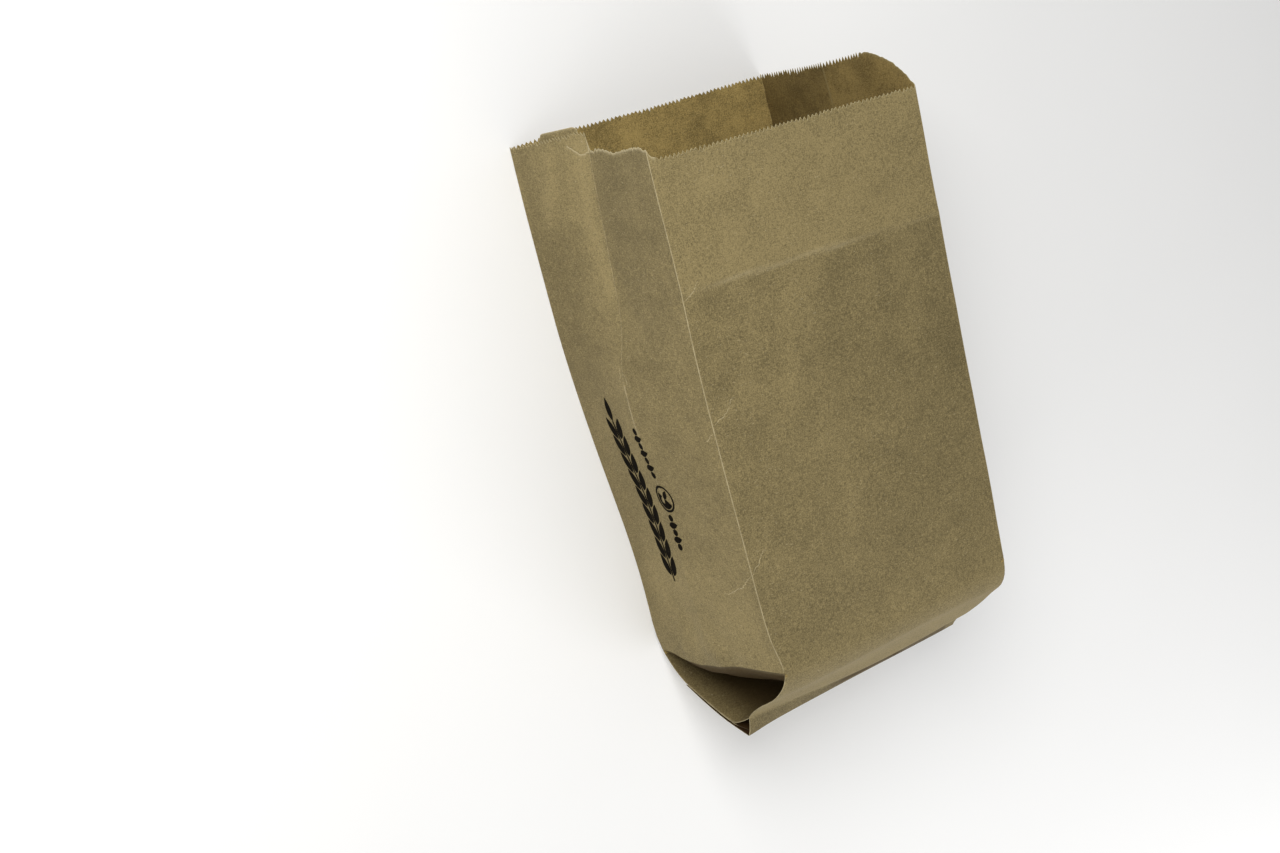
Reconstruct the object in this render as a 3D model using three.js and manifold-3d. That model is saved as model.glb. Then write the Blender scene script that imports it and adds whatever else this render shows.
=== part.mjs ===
// An open paper bag with side gussets and a pinched, folded-over bottom, lying on its back panel.
// Millimetres. X runs across the width, Y from the bottom fold to the mouth, and Z up from the
// back panel, which is on the floor, to the front panel.
import * as THREE from "three";
import { mergeVertices } from "three/addons/utils/BufferGeometryUtils.js";
import Module from "manifold-3d";

const wasm = await Module();
wasm.setup();

// ---- Driving sizes -------------------------------------------------------------------------

const WIDTH = 130; // front and back panels
const DEPTH = 105; // gusset, from the back panel to the front panel
const WALL = 0.6; // paper, thickened to a solid that holds together
const FOLD_HEIGHT = 61.5; // bottom fold above the back panel
const TRIM_ABOVE = 300; // blank tube length before the mouth is cut

// Bottom: the line of each panel in the YZ plane, from a bend into a slope down to the fold.
const FRONT_BEND = { y: 33, radius: 16 };
const BACK_BEND = { y: 18.7, radius: 31 };
const FRONT_KNEE = { y: 7.5, inFromFold: 4.5 }; // crease just above the fold
const ARC_STEP_DEG = 12;

// Gusset pockets at the two ends of the bottom: the ridge under the gusset, and how far the
// folded paper reaches in along the fold.
const RIDGE_BACK_Y = 25;
const RIDGE_FRONT_Y = 44.5;
const POCKET_REACH = DEPTH / 2;
const POCKET_PLIES = 2; // layers between a pocket and the outside

// Flap: the end of the tube, turned over the fold and stuck to the back slope.
const FLAP = { length: 45, thickness: 1, sunk: 0.2, rows: 5 };

// Lean of the tube at the mouth: the back panel has slid to the left and spread a little.
const LEAN = {
  frontLeft: -3,
  frontRight: 0.8,
  backLeft: -10,
  backRight: -4.3,
  fromY: 45,
  fullY: 200,
};

// Inward push of each gusset's middle crease at heights along the bag (minus is outward).
const LEFT_CREASE = [
  [0, 0],
  [43, -2.5],
  [78, -3.9],
  [117, -3],
  [156, -5],
  [176, -4],
  [195, 0.8],
  [234, 4.5],
  [270, 7],
  [TRIM_ABOVE, 8],
];
const RIGHT_CREASE = [
  [0, 0],
  [60, -1],
  [130, -3],
  [200, -1],
  [270, 3.8],
  [TRIM_ABOVE, 4.5],
];

// Front panel: a shallow crown, and a soft cross crease left from when the bag was folded.
const CROWN = { rise: 2.2, y: 120, spread: 75 };
const CROSS_CREASE = { leftY: 214.5, rightY: 207.5, depth: 1.1, spread: 9 };

// Saw-cut teeth along the mouth and the flap's free edge.
const TOOTH = { pitch: 2, depth: 1.3 };

// Mouth edge around the tube: [share of the wall, height, cut] up to each point, where a saw
// cut has teeth and a torn edge has none. Walls run front, right, back, left.
const MOUTH = [
  [
    [0, 273.9, "torn"],
    [0.012, 271, "torn"],
    [1, 263.7, "saw"],
  ],
  [
    [0.035, 268.4, "torn"],
    [0.09, 272.6, "torn"],
    [0.157, 276.5, "torn"],
    [0.234, 279.6, "torn"],
    [0.5, 276.5, "saw"],
    [1, 272.6, "saw"],
  ],
  [
    [0.3, 272.7, "saw"],
    [0.51, 273.3, "saw"],
    [0.78, 275.2, "saw"],
    [1, 276.2, "saw"],
  ],
  [
    [0.213, 278.3, "saw"],
    [0.234, 280.6, "torn"],
    [0.43, 282.3, "torn"],
    [0.457, 281.3, "torn"],
    [0.497, 280.3, "saw"],
    [0.503, 272.4, "torn"],
    [0.548, 273.2, "torn"],
    [0.653, 273.3, "torn"],
    [0.735, 272.3, "torn"],
    [0.87, 274.9, "torn"],
    [0.94, 274.9, "torn"],
    [1, 273.9, "torn"],
  ],
];

// Mesh density, and how far cutting solids stand clear of what they cut.
const PANEL_COLUMNS = 10;
const GUSSET_COLUMNS = 6;
const TUBE_ROWS = 16;
const CLEARANCE = 8;
const TRIMMER_HALF_WIDTH = 3;

const PAPER = new THREE.MeshStandardMaterial({
  name: "kraft paper",
  color: 0x8a7c58,
  roughness: 0.85,
  metalness: 0,
});

// ---- Small helpers -------------------------------------------------------------------------

const { lerp, clamp, smoothstep, degToRad } = THREE.MathUtils;

// Height on a line of [x, y] points, straight between them.
function along(points, x) {
  const end = points.findIndex((point) => point[0] >= x);
  if (end === 0) return points[0][1];
  if (end < 0) return points.at(-1)[1];
  const [[x0, y0], [x1, y1]] = [points[end - 1], points[end]];
  return lerp(y0, y1, (x - x0) / (x1 - x0));
}

// A bell curve, 1 at the middle.
const bell = (distance, spread) => Math.exp(-((distance / spread) ** 2));

// A closed solid from a geometry whose shared vertices are merged.
function solid(geometry) {
  const bare = new THREE.BufferGeometry();
  bare.setAttribute("position", geometry.getAttribute("position"));
  bare.setIndex(geometry.getIndex());
  const merged = mergeVertices(bare, 1e-4);
  return new wasm.Manifold(
    new wasm.Mesh({
      numProp: 3,
      vertProperties: merged.attributes.position.array,
      triVerts: new Uint32Array(merged.index.array),
    }),
  );
}

// A tube of rings, each a closed list of Vector3 of one length, with both ends filled by a fan.
function loft(rings) {
  const size = rings[0].length;
  const points = rings.flat();
  const triangles = [];
  for (let row = 0; row + 1 < rings.length; row++) {
    for (let i = 0; i < size; i++) {
      const [a, b] = [row * size + i, row * size + ((i + 1) % size)];
      triangles.push(a, b, b + size, a, b + size, a + size);
    }
  }
  const fan = (ring, first, flip) => {
    const middle = ring.reduce((sum, point) => sum.add(point), new THREE.Vector3());
    points.push(middle.divideScalar(size));
    for (let i = 0; i < size; i++) {
      const [a, b] = [first + i, first + ((i + 1) % size)];
      triangles.push(points.length - 1, flip ? b : a, flip ? a : b);
    }
  };
  fan(rings[0], 0, true);
  fan(rings.at(-1), (rings.length - 1) * size, false);
  return new THREE.BufferGeometry().setFromPoints(points).setIndex(triangles);
}

// ---- Side view of the panels ---------------------------------------------------------------

// A corner of a line in the YZ plane, rounded: Vector2 points from before it to after it.
function roundCorner(before, corner, after, radius) {
  const back = before.clone().sub(corner).normalize();
  const on = after.clone().sub(corner).normalize();
  const half = back.angleTo(on) / 2;
  const start = corner.clone().addScaledVector(back, radius / Math.tan(half));
  const middle = back.clone().add(on).normalize();
  const centre = corner.clone().addScaledVector(middle, radius / Math.sin(half));
  const sweep = Math.PI - 2 * half;
  const steps = Math.ceil(sweep / degToRad(ARC_STEP_DEG));
  const turn = Math.sign(back.cross(on)) || 1;
  return Array.from({ length: steps + 1 }, (_, i) =>
    start.clone().rotateAround(centre, (-turn * sweep * i) / steps),
  );
}

// The front panel's line, then the back panel's: Vector2(z, y) points from the fold upward.
const frontKnee = new THREE.Vector2(FOLD_HEIGHT + FRONT_KNEE.inFromFold, FRONT_KNEE.y);
const frontLine = [
  new THREE.Vector2(FOLD_HEIGHT + WALL, 0),
  frontKnee,
  ...roundCorner(
    frontKnee,
    new THREE.Vector2(DEPTH, FRONT_BEND.y),
    new THREE.Vector2(DEPTH, TRIM_ABOVE),
    FRONT_BEND.radius,
  ),
  new THREE.Vector2(DEPTH, TRIM_ABOVE),
];
const backFoot = new THREE.Vector2(FOLD_HEIGHT - WALL, 0);
const backLine = [
  backFoot,
  ...roundCorner(
    backFoot,
    new THREE.Vector2(0, BACK_BEND.y),
    new THREE.Vector2(0, TRIM_ABOVE),
    BACK_BEND.radius,
  ),
  new THREE.Vector2(0, TRIM_ABOVE),
];

// A line moved sideways by a distance, with mitred corners: to its left as it runs upward.
function offsetLine(line, distance) {
  const normals = line.slice(1).map((point, i) => {
    const run = point.clone().sub(line[i]).normalize();
    return new THREE.Vector2(-run.y, run.x);
  });
  return line.map((point, i) => {
    const [a, b] = [normals[Math.max(i - 1, 0)], normals[Math.min(i, normals.length - 1)]];
    const mitre = a.clone().add(b).divideScalar(1 + a.dot(b));
    return point.clone().addScaledVector(mitre, distance);
  });
}

// ---- Shape of the tube ---------------------------------------------------------------------

// Moves a point of the straight, square tube to where it is on the leaning, creased bag.
function settle({ x, y, z }) {
  const across = x / WIDTH;
  const back = clamp(1 - z / DEPTH, 0, 1);
  const lean = smoothstep(y, LEAN.fromY, LEAN.fullY);
  const left = lerp(LEAN.frontLeft, LEAN.backLeft, back) * lean;
  const right = lerp(LEAN.frontRight, LEAN.backRight, back) * lean;
  const tent = 1 - Math.abs(2 * back - 1);
  const push = lerp(along(LEFT_CREASE, y), -along(RIGHT_CREASE, y), clamp(across, 0, 1));
  const arch = Math.sin(Math.PI * clamp(across, 0, 1)) * smoothstep(1 - back, 0.9, 1);
  const creaseY = lerp(CROSS_CREASE.leftY, CROSS_CREASE.rightY, across);
  const rise =
    CROWN.rise * bell(y - CROWN.y, CROWN.spread) -
    CROSS_CREASE.depth * bell(y - creaseY, CROSS_CREASE.spread);
  return new THREE.Vector3(x + lerp(left, right, across) + push * tent, y, z + rise * arch);
}

// Corners-first ring of the square tube between x0 and x1, z0 and z1, at one height.
function ring(x0, x1, y, zFront, zBack) {
  const points = [];
  const edge = (steps, at) => {
    for (let i = 0; i < steps; i++) points.push(at(i / steps));
  };
  edge(PANEL_COLUMNS, (k) => new THREE.Vector3(lerp(x0, x1, k), y, zFront));
  edge(GUSSET_COLUMNS, (k) => new THREE.Vector3(x1, y, lerp(zFront, zBack, k)));
  edge(PANEL_COLUMNS, (k) => new THREE.Vector3(lerp(x1, x0, k), y, zBack));
  edge(GUSSET_COLUMNS, (k) => new THREE.Vector3(x0, y, lerp(zBack, zFront, k)));
  return points;
}

// The filled tube, its panels moved in by a distance, between x0 and x1.
function filledTube(inset, x0, x1) {
  const toPairs = (line) => line.map((point) => [point.y, point.x]);
  const front = toPairs(offsetLine(frontLine, inset));
  const back = toPairs(offsetLine(backLine, -inset));
  const top = TRIM_ABOVE - 1;
  const gap = (y) => along(front, y) - along(back, y);
  let foot = 0;
  while (gap(foot) < WALL) foot += WALL / 4;
  const bends = [...frontLine, ...backLine].map((point) => point.y);
  const start = Math.max(...bends.filter((y) => y < top));
  const straight = Array.from({ length: TUBE_ROWS }, (_, i) =>
    lerp(start, top, (i + 1) / TUBE_ROWS),
  );
  const inside = bends.filter((y) => y > foot + WALL && y < top);
  const heights = [foot, ...inside, ...straight]
    .sort((a, b) => a - b)
    .filter((y, i, all) => i === 0 || y - all[i - 1] > WALL);
  return solid(
    loft(heights.map((y) => ring(x0, x1, y, along(front, y), along(back, y)).map(settle))),
  );
}

// Everything under the folded-in bottom of one gusset, out to a reach across the bag.
function underGusset(reach, lift) {
  const box = new THREE.BoxGeometry(1, 1, 1).translate(0.5, 0.5, 0.5);
  const position = box.getAttribute("position");
  const slope = -lerp(RIDGE_BACK_Y, RIDGE_FRONT_Y, FOLD_HEIGHT / DEPTH) / POCKET_REACH;
  for (let i = 0; i < position.count; i++) {
    const x = lerp(-CLEARANCE, reach, position.getX(i));
    const z = lerp(-CLEARANCE, DEPTH + CLEARANCE, position.getZ(i));
    const roof = lerp(RIDGE_BACK_Y, RIDGE_FRONT_Y, z / DEPTH) + slope * x + lift;
    position.setXYZ(i, x, lerp(-WIDTH, roof, position.getY(i)), z);
  }
  return solid(box);
}

// A solid turned left for right about the middle of the width.
const mirrored = (part) => part.mirror([1, 0, 0]).translate([WIDTH, 0, 0]);

// ---- Flap and mouth ------------------------------------------------------------------------

// The flap along the back slope: a plate whose free end is saw-cut.
function flap() {
  const inner = offsetLine(backLine, -FLAP.sunk);
  const outer = offsetLine(backLine, FLAP.thickness);
  const reached = [0];
  for (let i = 1; i < backLine.length; i++)
    reached.push(reached[i - 1] + backLine[i].distanceTo(backLine[i - 1]));
  const pointOn = (line, distance, x) => {
    const z = along(line.map((point, i) => [reached[i], point.x]), distance);
    const y = along(line.map((point, i) => [reached[i], point.y]), distance);
    return new THREE.Vector3(x, y, z);
  };
  const teeth = Math.round(WIDTH / TOOTH.pitch);
  const rings = Array.from({ length: 2 * teeth + 1 }, (_, column) => {
    const x = (WIDTH * column) / (2 * teeth);
    const length = FLAP.length - (column % 2 ? 0 : TOOTH.depth);
    const rows = Array.from({ length: FLAP.rows + 1 }, (_, i) => (length * i) / FLAP.rows);
    return [
      ...rows.map((distance) => pointOn(outer, distance, x)),
      ...rows.reverse().map((distance) => pointOn(inner, distance, x)),
    ];
  });
  return solid(loft(rings));
}

// Stations round the mouth: { wall, share, y } at every tooth and every point of a torn edge.
function mouthStations() {
  const stations = [];
  MOUTH.forEach((points, wall) => {
    const length = wall % 2 ? DEPTH : WIDTH;
    let [from, height] = [0, wall ? MOUTH[wall - 1].at(-1)[1] : points[0][1]];
    for (const [share, y, cut] of points) {
      const teeth = cut === "saw" ? Math.round(((share - from) * length) / TOOTH.pitch) : 0;
      for (let i = 1; i < 2 * teeth; i++) {
        const k = i / (2 * teeth);
        const dip = i % 2 ? TOOTH.depth : 0;
        stations.push({ wall, share: lerp(from, share, k), y: lerp(height, y, k) - dip });
      }
      if (share > 0) stations.push({ wall, share, y });
      [from, height] = [share, y];
    }
  });
  return stations;
}

// The waste above the mouth edge, as a thick ring that stands on both sides of the paper.
function mouthWaste() {
  const place = ({ wall, share }, y, out) => {
    const corners = [
      [-out, DEPTH + out],
      [WIDTH + out, DEPTH + out],
      [WIDTH + out, -out],
      [-out, -out],
    ];
    const [[x0, z0], [x1, z1]] = [corners[wall], corners[(wall + 1) % corners.length]];
    return new THREE.Vector3(lerp(x0, x1, share), y, lerp(z0, z1, share));
  };
  const settleFlat = (point) => {
    const flat = settle(point);
    return new THREE.Vector3(flat.x, point.y, point.z);
  };
  const top = TRIM_ABOVE + CLEARANCE;
  const sections = mouthStations().map((station) =>
    [
      place(station, station.y, TRIMMER_HALF_WIDTH),
      place(station, station.y, -TRIMMER_HALF_WIDTH),
      place(station, top, -TRIMMER_HALF_WIDTH),
      place(station, top, TRIMMER_HALF_WIDTH),
    ].map(settleFlat),
  );
  const size = sections[0].length;
  const triangles = [];
  sections.forEach((_, i) => {
    const [here, next] = [i * size, ((i + 1) % sections.length) * size];
    for (let j = 0; j < size; j++) {
      const k = (j + 1) % size;
      triangles.push(here + j, here + k, next + k, here + j, next + k, next + j);
    }
  });
  return solid(
    new THREE.BufferGeometry().setFromPoints(sections.flat()).setIndex(triangles),
  );
}

// ---- The bag -------------------------------------------------------------------------------

function bagGeometry() {
  const outside = filledTube(0, 0, WIDTH);
  const roof = underGusset(WIDTH, WALL);
  const hollow = filledTube(WALL, WALL, WIDTH - WALL).subtract(roof).subtract(mirrored(roof));
  const pocket = filledTube(POCKET_PLIES * WALL, -CLEARANCE, WIDTH / 2).intersect(
    underGusset(WIDTH / 2, 0),
  );
  const paper = outside
    .subtract(hollow)
    .subtract(pocket)
    .subtract(mirrored(pocket))
    .add(flap())
    .subtract(mouthWaste());
  const { vertProperties, triVerts } = paper.getMesh();
  const geometry = new THREE.BufferGeometry();
  geometry.setAttribute("position", new THREE.BufferAttribute(vertProperties, 3));
  geometry.setIndex(new THREE.BufferAttribute(triVerts, 1));
  geometry.computeBoundingBox();
  const { min, max } = geometry.boundingBox;
  geometry.translate(-(min.x + max.x) / 2, -(min.y + max.y) / 2, -min.z);
  return geometry;
}

const bag = new THREE.Mesh(bagGeometry(), PAPER);
bag.name = "paper_bag";

const group = new THREE.Group();
group.add(bag);
export default group;
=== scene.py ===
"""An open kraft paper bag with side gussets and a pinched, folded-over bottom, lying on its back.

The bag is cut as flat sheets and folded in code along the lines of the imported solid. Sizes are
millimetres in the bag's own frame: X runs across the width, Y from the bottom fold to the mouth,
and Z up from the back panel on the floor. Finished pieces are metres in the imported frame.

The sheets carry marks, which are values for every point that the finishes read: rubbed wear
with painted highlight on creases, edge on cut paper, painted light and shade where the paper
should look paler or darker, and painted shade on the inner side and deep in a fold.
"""

import logging
import math
from dataclasses import dataclass, field
from enum import Enum
from typing import Callable, Sequence

import bpy
import numpy as np
from mathutils import Matrix, Vector

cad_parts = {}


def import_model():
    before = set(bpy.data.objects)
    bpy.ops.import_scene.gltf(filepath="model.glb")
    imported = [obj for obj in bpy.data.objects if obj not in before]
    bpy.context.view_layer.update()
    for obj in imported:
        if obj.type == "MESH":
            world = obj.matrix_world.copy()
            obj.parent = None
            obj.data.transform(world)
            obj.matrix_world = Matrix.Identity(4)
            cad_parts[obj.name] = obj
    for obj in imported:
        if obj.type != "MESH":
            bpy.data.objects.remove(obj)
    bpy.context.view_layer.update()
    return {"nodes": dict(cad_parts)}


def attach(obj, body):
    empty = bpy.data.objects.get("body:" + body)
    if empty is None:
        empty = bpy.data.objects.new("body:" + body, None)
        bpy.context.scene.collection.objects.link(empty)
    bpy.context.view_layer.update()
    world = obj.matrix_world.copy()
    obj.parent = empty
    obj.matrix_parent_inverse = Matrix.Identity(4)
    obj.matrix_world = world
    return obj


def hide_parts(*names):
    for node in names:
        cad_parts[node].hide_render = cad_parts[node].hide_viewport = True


LOG = logging.getLogger("paper_bag")
MM = 0.001
ARC_STEP = 0.07  # radians between the points of a rounded corner
# The marks: rubbed wear with painted highlight, cut edges, painted light and shade, painted shade on the
# inner side, and painted shade deep in folds.
MARKS = ("wear_and_highlight", "edge", "shade", "inside_shade", "hollow_shade")

Color = tuple[float, float, float]
Point = tuple[float, float, float]
Range = tuple[float, float]
Pairs = tuple[tuple[float, float], ...]
Value = float | np.ndarray
Socket = bpy.types.NodeSocket


class Wall(Enum):
    """The four walls of the bag. The left one and the right one are its gussets."""

    FRONT = "front"
    RIGHT = "right"
    BACK = "back"
    LEFT = "left"


class Layer(Enum):
    """Which face of the paper a finish is for. The value is its place in the material slots."""

    OUTSIDE = 0
    INSIDE = 1
    CUT_EDGE = 2


class Cut(Enum):
    """How an edge of the paper was made."""

    SAW = "saw"
    TORN = "torn"


Profile = tuple[tuple[float, float, Cut], ...]
Finishes = dict[Layer, bpy.types.Material]
Onto = Callable[[np.ndarray], np.ndarray]


# ---- Small helpers ----


def lerp(start: Value, end: Value, share: Value) -> Value:
    """Straight mix of two numbers or arrays."""
    return start + (end - start) * share


def smoothstep(value: Value, low: Value, high: Value) -> Value:
    """Soft step of a number or array from 0 at low to 1 at high."""
    share = np.clip((value - low) / (high - low), 0.0, 1.0)
    return share * share * (3.0 - 2.0 * share)


def window(value: Value, rise: Range, fall: Range) -> Value:
    """Soft stretch of a number or array, 1 from the end of the rise to the start of the fall."""
    return smoothstep(value, *rise) * (1.0 - smoothstep(value, *fall))


def bell(distance: Value, spread: float) -> Value:
    """A bell curve of a number or array, 1 at the middle."""
    return np.exp(-((distance / spread) ** 2))


def eased(
    value: Value, places: Sequence[float], heights: Sequence[float], ease: float, count: int = 5
) -> Value:
    """Reads a line through points whose corners are rounded off.

    Args:
        value: where it is read.
        places: the places of the points.
        heights: their heights.
        ease: how far to each side a corner is rounded.
        count: how many readings are averaged.

    Returns:
        The heights of the line.
    """
    near = [np.interp(value + shift, places, heights) for shift in np.linspace(-ease, ease, count)]
    return np.mean(near, axis=0)


def deselect() -> None:
    """Leaves nothing selected and nothing active."""
    if bpy.context.object and bpy.context.object.mode != "OBJECT":
        bpy.ops.object.mode_set(mode="OBJECT")
    bpy.ops.object.select_all(action="DESELECT")
    bpy.context.view_layer.objects.active = None


def pick(*objects: bpy.types.Object) -> None:
    """Selects some objects alone.

    Args:
        objects: the objects; the first is made active.
    """
    deselect()
    for one in objects:
        one.select_set(True)
    bpy.context.view_layer.objects.active = objects[0]


def apply_modifier(piece: bpy.types.Object, kind: str, **settings: object) -> None:
    """Adds a modifier to a piece and applies it.

    Args:
        piece: the object to change.
        kind: the modifier's type, such as "SOLIDIFY".
        settings: values of the modifier's own properties.
    """
    pick(piece)
    modifier = piece.modifiers.new(kind.lower(), kind)
    for name, value in settings.items():
        setattr(modifier, name, value)
    bpy.ops.object.modifier_apply(modifier=modifier.name)


def join(name: str, pieces: Sequence[bpy.types.Object]) -> bpy.types.Object:
    """Joins objects into the first one.

    Args:
        name: the joined object's name.
        pieces: the objects.

    Returns:
        The joined object.
    """
    pick(*pieces)
    if len(pieces) > 1:
        bpy.ops.object.join()
    joined = bpy.context.object
    joined.name = name
    joined.data.name = name
    return joined


def merge_doubles(piece: bpy.types.Object, within: float) -> None:
    """Merges the vertices that lie together and drops faces without area.

    Args:
        piece: the object.
        within: the distance within which vertices merge, in metres.
    """
    pick(piece)
    bpy.ops.object.mode_set(mode="EDIT")
    bpy.ops.mesh.select_all(action="SELECT")
    bpy.ops.mesh.remove_doubles(threshold=within)
    bpy.ops.mesh.dissolve_degenerate(threshold=within / 4)
    bpy.ops.object.mode_set(mode="OBJECT")


def flip_faces(piece: bpy.types.Object) -> None:
    """Turns every face of a piece the other way.

    Args:
        piece: the object.
    """
    pick(piece)
    bpy.ops.object.mode_set(mode="EDIT")
    bpy.ops.mesh.select_all(action="SELECT")
    bpy.ops.mesh.flip_normals()
    bpy.ops.object.mode_set(mode="OBJECT")


def vertices_of(piece: bpy.types.Object) -> np.ndarray:
    """Reads the vertices of a piece.

    Args:
        piece: the object.

    Returns:
        An array of points.
    """
    flat = np.empty(len(piece.data.vertices) * 3)
    piece.data.vertices.foreach_get("co", flat)
    return flat.reshape(-1, 3)


def set_vertices(piece: bpy.types.Object, points: np.ndarray) -> None:
    """Moves the vertices of a piece.

    Args:
        piece: the object.
        points: a point for each vertex, in their order.
    """
    piece.data.vertices.foreach_set("co", points.astype(np.float32).ravel())
    piece.data.update()


def rounded(corners: Sequence[Range], radii: Sequence[float]) -> np.ndarray:
    """A line of corners with an arc at each inner corner.

    Args:
        corners: the (z, y) corners in order.
        radii: the arc's radius at each inner corner.

    Returns:
        The points of the line, an array of (z, y).
    """
    line = [np.array(corners[0], float)]
    for before, here, after, radius in zip(corners, corners[1:], corners[2:], radii):
        corner = np.array(here, float)
        back = (np.array(before) - corner) / np.linalg.norm(np.array(before) - corner)
        on = (np.array(after) - corner) / np.linalg.norm(np.array(after) - corner)
        half = math.acos(float(np.clip(back @ on, -1, 1))) / 2
        middle = (back + on) / np.linalg.norm(back + on)
        centre = corner + middle * radius / math.sin(half)
        sweep = math.pi - 2 * half
        start = corner + back * radius / math.tan(half) - centre
        turn = math.copysign(1.0, back[0] * on[1] - back[1] * on[0])
        for angle in np.linspace(0.0, -turn * sweep, max(3, math.ceil(sweep / ARC_STEP))):
            cosine, sine = math.cos(angle), math.sin(angle)
            spun = (start[0] * cosine - start[1] * sine, start[0] * sine + start[1] * cosine)
            line.append(centre + np.array(spun))
    line.append(np.array(corners[-1], float))
    return np.array(line)


# ---- Shape of the bag ----


@dataclass(frozen=True)
class PanelLine:
    """The side view of a panel: a line of (z, y) points that runs down from the tube.

    Distances along it count from the ridge of the gusset pocket, and are negative above it.

    Attributes:
        ridge_height: y of the pocket's ridge on the panel.
        outward: 1 on the front panel, -1 on the back panel.
        probe: how far to each side of a point the line's direction is read.
    """

    points: np.ndarray
    ridge_height: float
    outward: float
    probe: float = 0.3

    @property
    def reach(self) -> np.ndarray:
        """Measures along the line.

        Returns:
            The distance of every point from the ridge.
        """
        steps = np.linalg.norm(np.diff(self.points, axis=0), axis=1)
        run = np.concatenate([[0.0], np.cumsum(steps)])
        heights = self.points[:, 1]
        falling = int(np.argmax(np.diff(heights) >= 0)) or len(heights) - 1
        at_ridge = np.interp(-self.ridge_height, -heights[: falling + 1], run[: falling + 1])
        return run - at_ridge

    def at(self, distance: Value, inset: Value = 0.0) -> np.ndarray:
        """Points of the line.

        Args:
            distance: distances from the ridge.
            inset: how far each point is moved to the inner side of the panel.

        Returns:
            An array of (z, y) points.
        """
        reach = self.reach
        runs = np.add.outer((self.probe, 0.0, -self.probe), distance)
        ahead, here, behind = np.stack([np.interp(runs, reach, axis) for axis in self.points.T], axis=-1)
        along = ahead - behind
        along /= np.maximum(np.linalg.norm(along, axis=-1, keepdims=True), 1e-9)
        out = np.stack([-along[..., 1], along[..., 0]], axis=-1) * self.outward
        return here - out * np.asarray(inset)[..., None]


@dataclass(frozen=True)
class Dent:
    """A place where the paper is pushed: its middle, its reach and its push."""

    centre: Point
    spread: float
    push: Point


@dataclass(frozen=True)
class Ripple:
    """A soft fold along a line on a wall of the bag, and the light and shade painted along it.

    Attributes:
        line: its points on the wall, two values each.
        spread: how far it reaches to each side.
        tone: painted light on the line; less than 0 for painted shade.
        lift: how far the paper stands out on the line.
    """

    line: Pairs
    spread: float
    tone: float = 0.0
    lift: float = 0.0

    def share(self, places: np.ndarray) -> np.ndarray:
        """How much of the ripple there is at places on the wall.

        Args:
            places: two values for each place.

        Returns:
            1 on the line, falling to 0 away from it.
        """
        nearest = np.full(places.shape[:-1], np.inf)
        corners = [np.array(corner) for corner in self.line]
        for start, end in zip(corners, corners[1:] or corners):
            run = end - start
            along = np.clip((places - start) @ run / max(run @ run, 1e-9), 0.0, 1.0)
            away = np.linalg.norm(places - start - along[..., None] * run, axis=-1)
            nearest = np.minimum(nearest, away)
        return bell(nearest, self.spread)


@dataclass(frozen=True)
class Handle:
    """A point of the bottom's side view that is moved by listed amounts, more or less across the width.

    Attributes:
        at: the point, (z, y).
        moves: rows of (x, move along x, along y, along z), from the left to the right.
        ease: how far the moves blend to each side of a row.
    """

    at: Range
    moves: tuple[tuple[float, float, float, float], ...]
    ease: float = 6.0

    def move(self, x: np.ndarray) -> np.ndarray:
        """The move at places across the width.

        Args:
            x: the places.

        Returns:
            The moves along x, y and z, one more axis than x has.
        """
        places, *columns = zip(*self.moves)
        return np.stack([eased(x, places, column, self.ease) for column in columns], axis=-1)


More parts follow.
